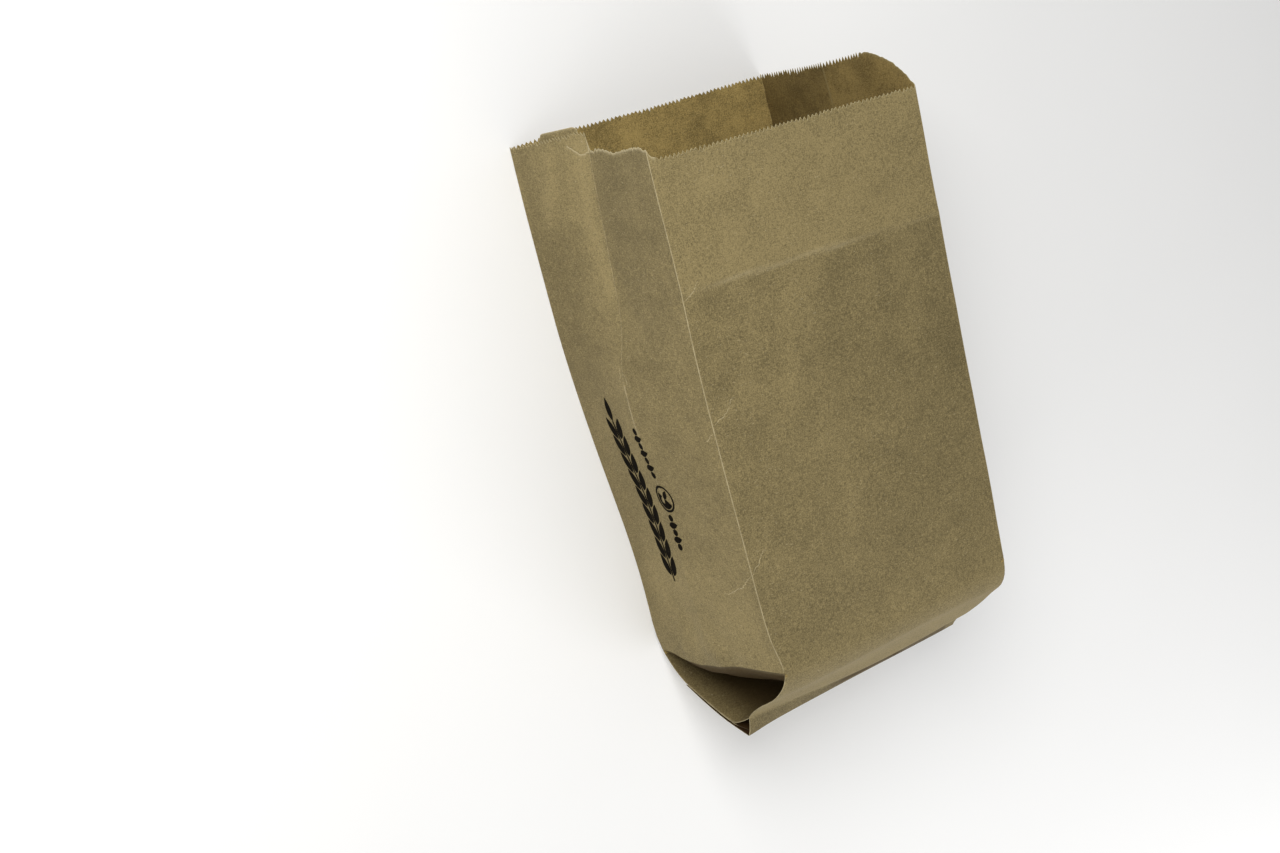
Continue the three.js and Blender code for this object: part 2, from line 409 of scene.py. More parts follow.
@dataclass(frozen=True)
class BagShape:
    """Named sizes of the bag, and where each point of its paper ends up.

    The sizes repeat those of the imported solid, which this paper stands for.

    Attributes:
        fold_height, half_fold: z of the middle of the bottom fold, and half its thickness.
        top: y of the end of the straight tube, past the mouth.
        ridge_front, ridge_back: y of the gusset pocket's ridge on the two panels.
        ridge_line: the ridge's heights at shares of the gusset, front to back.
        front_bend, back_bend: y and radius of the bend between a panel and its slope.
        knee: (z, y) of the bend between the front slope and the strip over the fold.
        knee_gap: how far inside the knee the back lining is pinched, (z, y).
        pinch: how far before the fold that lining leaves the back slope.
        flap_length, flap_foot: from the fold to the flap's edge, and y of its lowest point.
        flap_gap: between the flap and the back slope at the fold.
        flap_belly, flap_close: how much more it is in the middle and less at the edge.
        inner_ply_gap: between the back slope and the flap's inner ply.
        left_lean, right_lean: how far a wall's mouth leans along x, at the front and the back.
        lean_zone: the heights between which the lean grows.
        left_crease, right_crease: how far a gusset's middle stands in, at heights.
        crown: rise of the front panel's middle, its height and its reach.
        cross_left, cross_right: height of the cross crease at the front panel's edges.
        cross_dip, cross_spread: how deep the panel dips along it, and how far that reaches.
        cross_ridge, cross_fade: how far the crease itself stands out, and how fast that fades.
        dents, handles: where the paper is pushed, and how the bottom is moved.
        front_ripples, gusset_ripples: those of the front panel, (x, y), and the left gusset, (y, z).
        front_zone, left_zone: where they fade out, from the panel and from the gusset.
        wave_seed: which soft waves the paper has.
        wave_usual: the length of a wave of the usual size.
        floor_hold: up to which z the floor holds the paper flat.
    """

    width: float = 130.0
    depth: float = 105.0
    fold_height: float = 61.5
    half_fold: float = 0.6
    fold_radius: float = 0.9
    top: float = 300.0
    ridge_front: float = 44.5
    ridge_back: float = 27.5
    ridge_line: Pairs = (
        *((0.0, 44.5), (0.14, 42.2), (0.34, 38.6), (0.47, 34.9)),
        *((0.65, 30.0), (0.8, 28.4), (0.92, 29.0), (1.0, 27.5)),
    )
    ridge_ease: float = 0.02
    front_bend: Range = (33.0, 16.0)
    back_bend: Range = (18.7, 31.0)
    knee: Range = (66.0, 7.5)
    knee_radius: float = 5.0
    knee_gap: Range = (0.8, 0.5)
    pinch: float = 9.0
    pinch_radius: float = 3.0
    flap_length: float = 45.0
    flap_foot: float = -0.956
    flap_gap: float = 0.95
    flap_belly: float = 0.55
    flap_close: float = 0.3
    inner_ply_gap: float = 0.45
    inner_ply_short: float = 1.0
    left_lean: Range = (-3.0, -10.0)
    right_lean: Range = (0.8, -4.3)
    lean_zone: Range = (45.0, 200.0)
    left_crease: Pairs = (
        *((0, 0), (43, -2.5), (78, -3.9), (117, -3), (156, -5)),
        *((176, -4), (195, 0.8), (234, 4.5), (270, 7), (300, 8)),
    )
    right_crease: Pairs = ((0, 0), (60, -1), (130, -3), (200, -1), (270, 3.8), (300, 4.5))
    crease_ease: float = 5.0
    crease_sharp: float = 0.6
    sharp_zone: Range = (182.0, 205.0)
    crown: Point = (2.2, 120.0, 75.0)
    cross_left: float = 214.5
    cross_right: float = 207.5
    cross_dip: float = 1.1
    cross_spread: float = 9.0
    cross_ridge: float = 0.3
    cross_fade: float = 4.0
    dents: tuple[Dent, ...] = (
        Dent((0.0, 178.0, 52.0), 7.0, (-1.6, 0.0, 0.0)),
        Dent((0.0, 205.0, 60.0), 13.0, (1.0, 0.0, 0.0)),
        Dent((0.0, 52.0, 82.0), 14.0, (-1.2, 0.0, 0.0)),
        Dent((0.0, 50.0, 42.0), 8.0, (1.6, 0.0, 0.0)),
        Dent((0.0, 41.0, 62.0), 9.0, (-2.2, 0.0, 0.0)),
        Dent((10.0, 190.0, 105.0), 16.0, (0.0, 0.0, -0.8)),
        Dent((0.0, 258.0, 22.0), 11.0, (-1.0, 0.0, 0.0)),
        Dent((0.0, 250.0, 36.0), 9.0, (0.9, 0.0, 0.0)),
        Dent((130.0, 275.0, 52.0), 6.0, (-1.4, 1.2, 0.0)),
        Dent((130.0, 276.0, 2.0), 5.0, (-1.0, 0.8, 0.6)),
        Dent((130.0, 278.0, 82.0), 9.0, (-2.0, 0.0, 0.0)),
        Dent((40.0, 268.0, 105.0), 20.0, (0.0, 0.0, 0.8)),
        Dent((95.0, 262.0, 105.0), 22.0, (0.0, 0.0, -0.9)),
    )
    handles: tuple[Handle, ...] = (
        Handle(
            (61.5, -0.5),
            (
                *((0.0, 2.2, -0.2, 2.2), (14.0, 0.4, 0.1, 0.3), (30.0, 0.0, 0.4, 0.0)),
                *((45.0, 0.0, 0.7, 0.0), (65.0, 0.0, 1.1, 0.0), (85.0, 0.0, 1.3, 0.0)),
                *((116.0, -0.3, 1.3, 0.0), (130.0, -4.6, 1.5, 0.0)),
            ),
        ),
        Handle(
            (66.0, 7.5),
            (
                *((0.0, 3.2, 1.0, 0.0), (12.0, 0.8, 0.2, 0.0), (28.0, 0.0, -0.6, 0.1)),
                *((50.0, 0.0, -1.9, 0.3), (68.0, 0.0, -2.6, 0.3), (85.0, 0.0, -2.8, 0.2)),
                *((108.0, -0.2, -2.6, 0.0), (130.0, -4.0, -1.8, 0.0)),
            ),
        ),
        Handle(
            (82.0, 17.5),
            (
                *((0.0, 0.3, 2.0, 0.0), (25.0, 0.0, 0.3, 0.0), (50.0, 0.0, -0.7, 0.0)),
                *((85.0, 0.0, -1.2, 0.0), (130.0, 0.0, -2.1, 0.0)),
            ),
        ),
        Handle(
            (99.0, 30.0),
            (
                *((0.0, -2.4, 0.6, 0.2), (12.0, -0.2, 0.0, 0.0), (108.0, 0.0, 0.0, 0.0)),
                (130.0, 0.2, -0.9, -0.2),
            ),
        ),
        Handle(
            (105.0, 44.0),
            ((0.0, 1.2, 0.0, 4.0), (10.0, 0.2, 0.0, 2.0), (26.0, 0.0, 0.0, 0.5), (50.0, 0.0, 0.0, 0.0)),
        ),
        Handle((45.0, 6.0), ((0.0, 0.2, 0.3, 0.4), (30.0, 0.0, 0.2, 0.0), (130.0, 0.0, 0.8, 0.0))),
    )
    handle_spread: float = 12.0
    front_ripples: tuple[Ripple, ...] = (
        Ripple(((7.1, 209.0), (11.0, 206.5)), 4.0, -1.5, -0.25),
        Ripple(((0.0, 213.2), (4.2, 216.5), (10.5, 217.8), (17.1, 216.9)), 1.5, 1.5),
        Ripple(((22.8, 210.4), (24.5, 206.0)), 4.6, 1.3, 0.3),
        Ripple(((47.0, 203.0), (44.6, 187.2), (39.3, 161.3)), 4.6, 0.9, 0.35),
        Ripple(((22.6, 218.9), (37.0, 216.4)), 2.2, 1.3),
        Ripple(((62.2, 214.4), (79.6, 212.4)), 1.7, 1.0),
        Ripple(((-0.5, 202.9), (13.7, 195.1)), 3.0, 0.7),
        Ripple(((1.6, 189.0), (20.4, 188.5)), 2.6, -1.0),
        Ripple(((2.9, 172.2), (9.0, 175.0), (14.2, 180.3)), 4.0, -1.5, -0.25),
        Ripple(((-0.5, 159.5), (7.0, 163.3), (23.4, 165.7), (37.4, 163.8)), 1.9, 1.5),
        Ripple(((22.9, 177.3), (14.5, 170.2)), 2.0, 0.9),
        Ripple(((33.6, 178.8), (22.8, 172.9)), 2.6, -1.0),
        Ripple(((9.0, 152.0), (18.0, 148.5)), 5.0, -0.9, -0.3),
        Ripple(((23.8, 257.5), (27.0, 254.0)), 6.5, 1.8, 0.4),
        Ripple(((17.0, 230.0), (20.0, 236.5), (28.6, 248.3)), 2.6, -0.9),
        Ripple(((22.3, 235.8), (24.0, 234.0)), 2.6, 1.2),
        Ripple(((41.7, 239.4), (49.0, 249.8)), 4.0, 0.9, 0.3),
        Ripple(((70.0, 234.0), (83.3, 249.1)), 5.5, 0.7, 0.3),
        Ripple(((104.0, 224.0), (118.4, 242.0)), 9.0, -0.7),
        Ripple(((124.0, 204.0), (124.0, 150.0)), 13.0, -1.6),
        Ripple(((124.0, 150.0), (122.0, 84.0)), 12.0, -0.8),
        Ripple(((72.0, 200.0), (62.0, 148.0)), 8.0, -0.8, -0.4),
        Ripple(((96.0, 204.0), (88.0, 160.0)), 4.5, -0.6, 0.3),
        Ripple(((92.0, 176.0), (86.0, 92.0)), 26.0, -0.8),
        Ripple(((58.0, 120.0), (50.0, 84.0)), 6.0, 0.7, 0.3),
        Ripple(((30.0, 128.0), (27.0, 96.0)), 6.0, -0.6, -0.3),
    )
    gusset_ripples: tuple[Ripple, ...] = (
        Ripple(((272.0, 47.0), (240.0, 46.0), (214.0, 49.0)), 6.0, 3.4),
        Ripple(((272.0, 28.0), (256.0, 24.0), (244.0, 17.0)), 3.4, 2.0, 0.3),
        Ripple(((270.0, 7.0), (248.0, 7.0)), 7.0, -1.3),
        Ripple(((262.0, 70.0), (262.0, 82.0)), 7.0, -0.8, -0.3),
        Ripple(((240.0, 66.0), (236.0, 96.0)), 4.0, -1.2),
        Ripple(((250.0, 84.0), (254.0, 92.0)), 5.0, 0.7, 0.3),
        Ripple(((232.0, 12.0), (176.0, 12.0)), 14.0, -1.5),
        Ripple(((36.6, 27.6), (42.7, 44.3), (48.8, 70.2), (47.4, 86.4)), 3.0, 1.2, 0.5),
        Ripple(((31.8, 14.0), (33.8, 46.0)), 2.6, -1.6),
        Ripple(((64.0, 30.0), (58.0, 62.0)), 6.0, -0.6, -0.4),
        Ripple(((68.0, 24.0), (66.0, 90.0)), 17.0, 2.6),
    )
    front_zone: Range = (8.0, 2.0)
    left_zone: Range = (9.0, 17.0)
    wave_seed: int = 11
    wave_count: int = 14
    wave_size: float = 0.13
    wave_lengths: Range = (38.0, 120.0)
    wave_usual: float = 80.0
    floor_hold: float = 25.0

    @property
    def slope_down(self) -> np.ndarray:
        """Direction of the back slope towards the fold, (z, y)."""
        run = np.array([self.fold_height - self.half_fold, -self.back_bend[0]])
        return run / np.linalg.norm(run)

    @property
    def foot(self) -> np.ndarray:
        """End of the back slope at the fold, (z, y)."""
        return np.array([self.fold_height - self.half_fold, 0.0])

    @property
    def below(self) -> np.ndarray:
        """Direction straight out of the back slope, (z, y)."""
        down = self.slope_down
        return np.array([down[1], -down[0]])

    def front_line(self) -> PanelLine:
        """Makes the side view of the front panel, round the fold and along the flap.

        Returns:
            The line.
        """
        down, below, foot = self.slope_down, self.below, self.foot
        run = np.linspace(0.0, 1.0, 16)[2:]
        gap = self.flap_gap + self.flap_belly * np.sin(math.pi * run) - self.flap_close * run
        flap = foot + below * gap[:, None] - down * (self.flap_length * run)[:, None]
        knee = np.array(self.knee)
        strip = knee - np.array([self.fold_height + self.half_fold, 0.0])
        matrix = np.column_stack([strip / np.linalg.norm(strip), -down])
        across = np.linalg.solve(matrix, knee - (foot + below * self.flap_gap))
        corner = knee - strip / np.linalg.norm(strip) * across[0]
        bend, radius = self.front_bend
        body = rounded(
            [(self.depth, self.top), (self.depth, bend), self.knee, tuple(corner), tuple(flap[0])],
            [radius, self.knee_radius, self.fold_radius],
        )
        return PanelLine(np.vstack([body, flap[1:]]), self.ridge_front, 1.0)

    def knee_reach(self) -> float:
        """Finds the knee's distance from the ridge along the front panel.

        Returns:
            The distance of the line's nearest point.
        """
        line = self.front_line()
        away = np.linalg.norm(line.points - np.array(self.knee), axis=1)
        return float(line.reach[np.argmin(away)])

    def back_line(self) -> PanelLine:
        """Makes the side view of the back panel, to the fold and back along the inside of the flap.

        Returns:
            The line.
        """
        bend, radius = self.back_bend
        body = rounded([(0.0, self.top), (0.0, bend), tuple(self.foot)], [radius])
        half = self.inner_ply_gap / 2
        centre = self.foot + self.below * half
        turn = np.linspace(0.0, math.pi, 7)[1:]
        hairpin = centre + half * (
            np.outer(np.sin(turn), self.slope_down) - np.outer(np.cos(turn), self.below)
        )
        end = hairpin[-1] - self.slope_down * (self.flap_length - self.inner_ply_short)
        return PanelLine(np.vstack([body, hairpin, end[None]]), self.ridge_back, -1.0)

    def back_lining_line(self) -> PanelLine:
        """Makes the side view of the gusset ply on the back slope, up to its pinch at the knee.

        Returns:
            The line.
        """
        bend, radius = self.back_bend
        leave = self.foot - self.slope_down * self.pinch
        knee = (self.knee[0] - self.knee_gap[0], self.knee[1] - self.knee_gap[1])
        body = rounded([(0.0, self.top), (0.0, bend), tuple(leave), knee], [radius, self.pinch_radius])
        return PanelLine(body, self.ridge_back, -1.0)

    def ridge_drop(self, shares: np.ndarray) -> np.ndarray:
        """Finds how far the ridge is above the straight line between its ends.

        Args:
            shares: places on the gusset, front to back.

        Returns:
            The height above the line at each place.
        """
        heights = eased(shares, *zip(*self.ridge_line), self.ridge_ease, 3)
        ends = smoothstep(shares, 0.0, 0.05) * smoothstep(1.0 - shares, 0.0, 0.05)
        return (heights - lerp(self.ridge_front, self.ridge_back, shares)) * ends

    def settle(self, points: np.ndarray) -> np.ndarray:
        """Leans and creases the straight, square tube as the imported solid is.

        Args:
            points: points of the tube.

        Returns:
            The points where they end up.
        """
        x, y, z = points[..., 0], points[..., 1], points[..., 2]
        across = x / self.width
        inside = np.clip(across, 0.0, 1.0)
        back = np.clip(1.0 - z / self.depth, 0.0, 1.0)
        lean = smoothstep(y, *self.lean_zone)
        left = lerp(self.left_lean[0], self.left_lean[1], back) * lean
        right = lerp(self.right_lean[0], self.right_lean[1], back) * lean
        sharp = 1.0 + self.crease_sharp * smoothstep(y, *self.sharp_zone)
        tent = np.where(back < 0.5, 2.0 * back, (2.0 - 2.0 * np.maximum(back, 0.5)) ** sharp)
        from_left = eased(y, *zip(*self.left_crease), self.crease_ease)
        from_right = eased(y, *zip(*self.right_crease), self.crease_ease)
        push = lerp(from_left, -from_right, inside)
        arch = np.sin(math.pi * inside) * smoothstep(1.0 - back, 0.9, 1.0)
        cross = lerp(self.cross_left, self.cross_right, across)
        rise = self.crown[0] * bell(y - self.crown[1], self.crown[2])
        rise = rise - self.cross_dip * bell(y - cross, self.cross_spread)
        return np.stack([x + lerp(left, right, across) + push * tent, y, z + rise * arch], axis=-1)

    def soften(self, points: np.ndarray) -> np.ndarray:
        """Adds the soft waves, the dents, the ripples and the cross crease's ridge.

        Args:
            points: settled points.

        Returns:
            The points where they end up.
        """
        chance = np.random.RandomState(self.wave_seed)
        moved = points.copy()
        free = smoothstep(points[..., 2], 0.0, self.floor_hold)
        for _ in range(self.wave_count):
            direction = chance.normal(size=3)
            direction /= np.linalg.norm(direction)
            length = chance.uniform(*self.wave_lengths)
            phase = chance.uniform(0.0, 2 * math.pi)
            push = chance.normal(size=3) * self.wave_size * (length / self.wave_usual)
            wave = np.sin(points @ direction * (2 * math.pi / length) + phase)
            moved[..., 0] += wave * push[0]
            moved[..., 2] += wave * push[2] * free
        for dent in self.dents:
            away = points - np.array(dent.centre)
            share = bell(np.linalg.norm(away, axis=-1), dent.spread)
            moved += share[..., None] * np.array(dent.push)
        cross = lerp(self.cross_left, self.cross_right, points[..., 0] / self.width)
        on_front, on_left = self.walls(points)
        ridge = np.exp(-np.abs(points[..., 1] - cross) / self.cross_fade)
        moved[..., 2] += self.cross_ridge * ridge * on_front
        for ripple in self.front_ripples:
            moved[..., 2] += ripple.lift * ripple.share(points[..., :2]) * on_front
        for ripple in self.gusset_ripples:
            moved[..., 0] -= ripple.lift * ripple.share(points[..., 1:]) * on_left
        return moved

    def walls(self, points: np.ndarray) -> tuple[np.ndarray, np.ndarray]:
        """Tells which wall settled points lie on.

        Args:
            points: settled points.

        Returns:
            How much each point belongs to the front panel, and to the left gusset.
        """
        low, high = self.front_zone
        on_front = smoothstep(points[..., 2], self.depth - low, self.depth - high)
        on_left = 1.0 - smoothstep(points[..., 0], *self.left_zone)
        return on_front, on_left

    def tone(self, flat: np.ndarray) -> np.ndarray:
        """Adds up the light and shade that the ripples paint on the paper.

        Args:
            flat: points of the straight tube.

        Returns:
            The tone at each point, less than 0 where shade is painted.
        """
        points = self.settle(flat)
        on_front, on_left = self.walls(points)
        paler = np.zeros(points.shape[:-1])
        for ripple in self.front_ripples:
            paler += ripple.tone * ripple.share(points[..., :2]) * on_front
        for ripple in self.gusset_ripples:
            paler += ripple.tone * ripple.share(points[..., 1:]) * on_left * (1.0 - on_front)
        return paler

    def bring(self, points: np.ndarray) -> np.ndarray:
        """Moves the paper of the bottom so that every handle moves by its own amount.

        Args:
            points: points of the straight tube.

        Returns:
            The move of each point.
        """
        spots = np.array([one.at for one in self.handles])
        apart = np.linalg.norm(spots[:, None] - spots[None], axis=-1)
        share = np.linalg.inv(bell(apart, self.handle_spread))
        moves = np.stack([one.move(points[..., 0]) for one in self.handles], axis=-2)
        pulls = np.einsum("ij,...jk->...ik", share, moves)
        away = np.linalg.norm(points[..., None, [2, 1]] - spots, axis=-1)
        return np.einsum("...i,...ik->...k", bell(away, self.handle_spread), pulls)

    def place(self, points: np.ndarray) -> np.ndarray:
        """Where points of the straight, square tube end up on the finished bag."""
        return self.soften(self.settle(points)) + self.bring(points)


@dataclass(frozen=True)
class Mouth:
    """The cut and torn edge of the mouth, wall by wall.

    Each wall is a list of (share of the wall, height, cut up to there). Shares run from the left
    to the right on the front and back panels, and from the front to the back on the gussets.

    Attributes:
        steep: how much deeper the teeth of the right gusset are.
        tooth_vary: how unlike the teeth are, as a share of their depth.
        tip_vary: how far the tips between them stand off the line.
        rag_size, rag_seed: how rough a torn edge is, and which teeth and which tear it is.
    """

    front: Profile = (
        *((0.0, 273.9, Cut.TORN), (0.012, 271.0, Cut.TORN), (0.03, 269.6, Cut.TORN)),
        (1.0, 263.7, Cut.SAW),
    )
    right: Profile = (
        *((0.0, 263.7, Cut.TORN), (0.035, 268.4, Cut.TORN), (0.09, 273.6, Cut.TORN)),
        *((0.157, 277.9, Cut.TORN), (0.22, 280.3, Cut.TORN), (0.27, 280.2, Cut.TORN)),
        *((0.5, 276.8, Cut.SAW), (1.0, 272.8, Cut.SAW)),
    )
    back: Profile = (
        *((0.0, 276.2, Cut.SAW), (0.15, 276.4, Cut.SAW), (0.3, 275.8, Cut.SAW)),
        *((0.49, 274.5, Cut.SAW), (0.75, 273.6, Cut.SAW), (1.0, 272.8, Cut.SAW)),
    )
    left: Profile = (
        *((0.0, 273.9, Cut.TORN), (0.06, 274.9, Cut.TORN), (0.13, 274.9, Cut.TORN)),
        *((0.2, 273.4, Cut.TORN), (0.265, 272.3, Cut.TORN), (0.31, 272.7, Cut.TORN)),
        *((0.347, 273.3, Cut.TORN), (0.41, 273.7, Cut.TORN), (0.452, 273.2, Cut.TORN)),
        *((0.497, 272.4, Cut.TORN), (0.507, 280.0, Cut.TORN)),
        *((0.56, 280.6, Cut.SAW), (0.6, 279.9, Cut.SAW), (0.787, 278.0, Cut.SAW), (1.0, 276.2, Cut.SAW)),
    )
    tooth_depth: float = 1.5
    steep: float = 1.6
    tooth_vary: float = 0.2
    tip_vary: float = 0.16
    rag_size: float = 0.5
    rag_seed: int = 5

    def profile(self, wall: Wall) -> Profile:
        """The edge of a wall."""
        return getattr(self, wall.value)

    def base(self, wall: Wall, shares: np.ndarray) -> np.ndarray:
        """Height of the mouth along a wall without its teeth."""
        places, heights, _ = zip(*self.profile(wall))
        return np.interp(shares, places, heights)

    def dips(self, wall: Wall, shares: np.ndarray, whole: np.ndarray) -> np.ndarray:
        """Finds how far the cut is below the base at each column.

        Args:
            wall: the wall.
            shares: where the columns are on the wall.
            whole: the number of the tooth step at each column, which may lie between two.

        Returns:
            The depth below the base at each column.
        """
        chance = np.random.RandomState(self.rag_seed + len(wall.value))
        steps = int(whole.max()) + 1
        number = np.arange(steps)
        depth = self.tooth_depth * (self.steep if wall is Wall.RIGHT else 1.0)
        deep = depth * (1.0 + self.tooth_vary * chance.normal(size=steps))
        teeth = np.where(number % 2 == 1, deep, self.tip_vary * np.abs(chance.normal(size=steps)))
        rag = np.abs(self.rag_size * chance.normal(size=steps))
        teeth[[0, -1]] = rag[[0, -1]] = 0.0
        torn = self.torn(wall, shares)
        return np.where(torn, np.interp(whole, number, rag), np.interp(whole, number, teeth))

    def torn(self, wall: Wall, shares: np.ndarray) -> np.ndarray:
        """Finds where the edge of a wall is torn, and not saw-cut.

        Args:
            wall: the wall.
            shares: places along it.

        Returns:
            True at the torn places.
        """
        places, _, cuts = zip(*self.profile(wall))
        rows = np.minimum(np.searchsorted(places, shares), len(cuts) - 1)
        return np.array([cuts[row] is Cut.TORN for row in rows])


# ---- Sheets of paper ----


@dataclass(frozen=True)
class Register:
    """Puts millimetres of the bag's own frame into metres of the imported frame."""

    origin: Point

    @classmethod
    def from_node(cls, node: bpy.types.Object, flap_foot: float) -> "Register":
        """Reads where the bag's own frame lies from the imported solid.

        Args:
            node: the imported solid, whose lowest edge along Y is the flap's, from x 0.
            flap_foot: that edge's y in the bag's own frame.

        Returns:
            The register.
        """
        points = vertices_of(node) / MM
        lowest = points[:, 1].min()
        edge = points[points[:, 1] < lowest + 0.01]
        return cls((-edge[:, 0].min(), flap_foot - lowest, -points[:, 2].min()))

    def metres(self, points: np.ndarray) -> np.ndarray:
        """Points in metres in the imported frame."""
        return (points - np.array(self.origin)) * MM


@dataclass
class SheetMaker:
    """Cuts a flat sheet and lays it where it belongs, and lays print on the finished bag."""

    shape: BagShape
    register: Register

    def lay(
        self, name: str, flat: np.ndarray, facing: Point, marks: dict[str, np.ndarray]
    ) -> bpy.types.Object:
        """Makes one sheet.

        Args:
            name: the sheet's name.
            flat: rows of points on the straight, square tube.
            facing: roughly where the outer side of the sheet faces.
            marks: values for every point, by the name that the finishes read.

        Returns:
            The sheet, one layer of faces.
        """
        rows, columns = flat.shape[:2]
        deselect()
        bpy.ops.mesh.primitive_grid_add(x_subdivisions=columns - 1, y_subdivisions=rows - 1, size=0.1)
        sheet = bpy.context.object
        sheet.name = name
        points = self.register.metres(self.shape.place(flat))
        set_vertices(sheet, points.reshape(-1, 3))
        # The ripples' painted light and shade are added to the shade mark.
        shade = marks.get("shade", 0.0) + self.shape.tone(flat)
        for mark in MARKS:
            values = shade if mark == "shade" else marks.get(mark, np.zeros((rows, columns)))
            attribute = sheet.data.attributes.new(mark, "FLOAT", "POINT")
            attribute.data.foreach_set("value", values.astype(np.float32).ravel())
        lean = sum((face.normal * face.area for face in sheet.data.polygons), Vector())
        if lean.dot(Vector(facing)) < 0:
            flip_faces(sheet)
        return sheet

    def on_front(self, layout: np.ndarray) -> np.ndarray:
        """Lays points on the front panel.

        Args:
            layout: rows of (across the bag, along it, height over the paper).

        Returns:
            The points in metres.
        """
        x, y, lift = layout.T
        flat = np.stack([x, y, self.shape.depth + lift], axis=-1)
        return self.register.metres(self.shape.place(flat))

    def on_gusset(self, layout: np.ndarray) -> np.ndarray:
        """Lays points on the left gusset.

        Args:
            layout: rows of (along the bag, up the gusset, height over the paper).

        Returns:
            The points in metres.
        """
        y, z, lift = layout.T
        wall = np.stack([np.zeros_like(y), y, z], axis=-1)
        along, across = (
            self.shape.place(wall + step) - self.shape.place(wall - step)
            for step in (np.array([0.0, 0.5, 0.0]), np.array([0.0, 0.0, 0.5]))
        )
        out = np.cross(across, along)
        out /= np.linalg.norm(out, axis=1, keepdims=True)
        out *= -np.sign(out[:, :1])
        return self.register.metres(self.shape.place(wall) + out * lift[:, None])

    def on_flap(self, layout: np.ndarray) -> np.ndarray:
        """Lays points on the flap.

        Args:
            layout: rows of (across the bag, from the fold, height over the paper).

        Returns:
            The points in metres.
        """
        x, run, lift = layout.T
        line = self.shape.front_line()
        side = line.at(line.reach[-1] - self.shape.flap_length + run, -lift)
        flat = np.stack([x, side[:, 1], side[:, 0]], axis=-1)
        return self.register.metres(self.shape.place(flat))


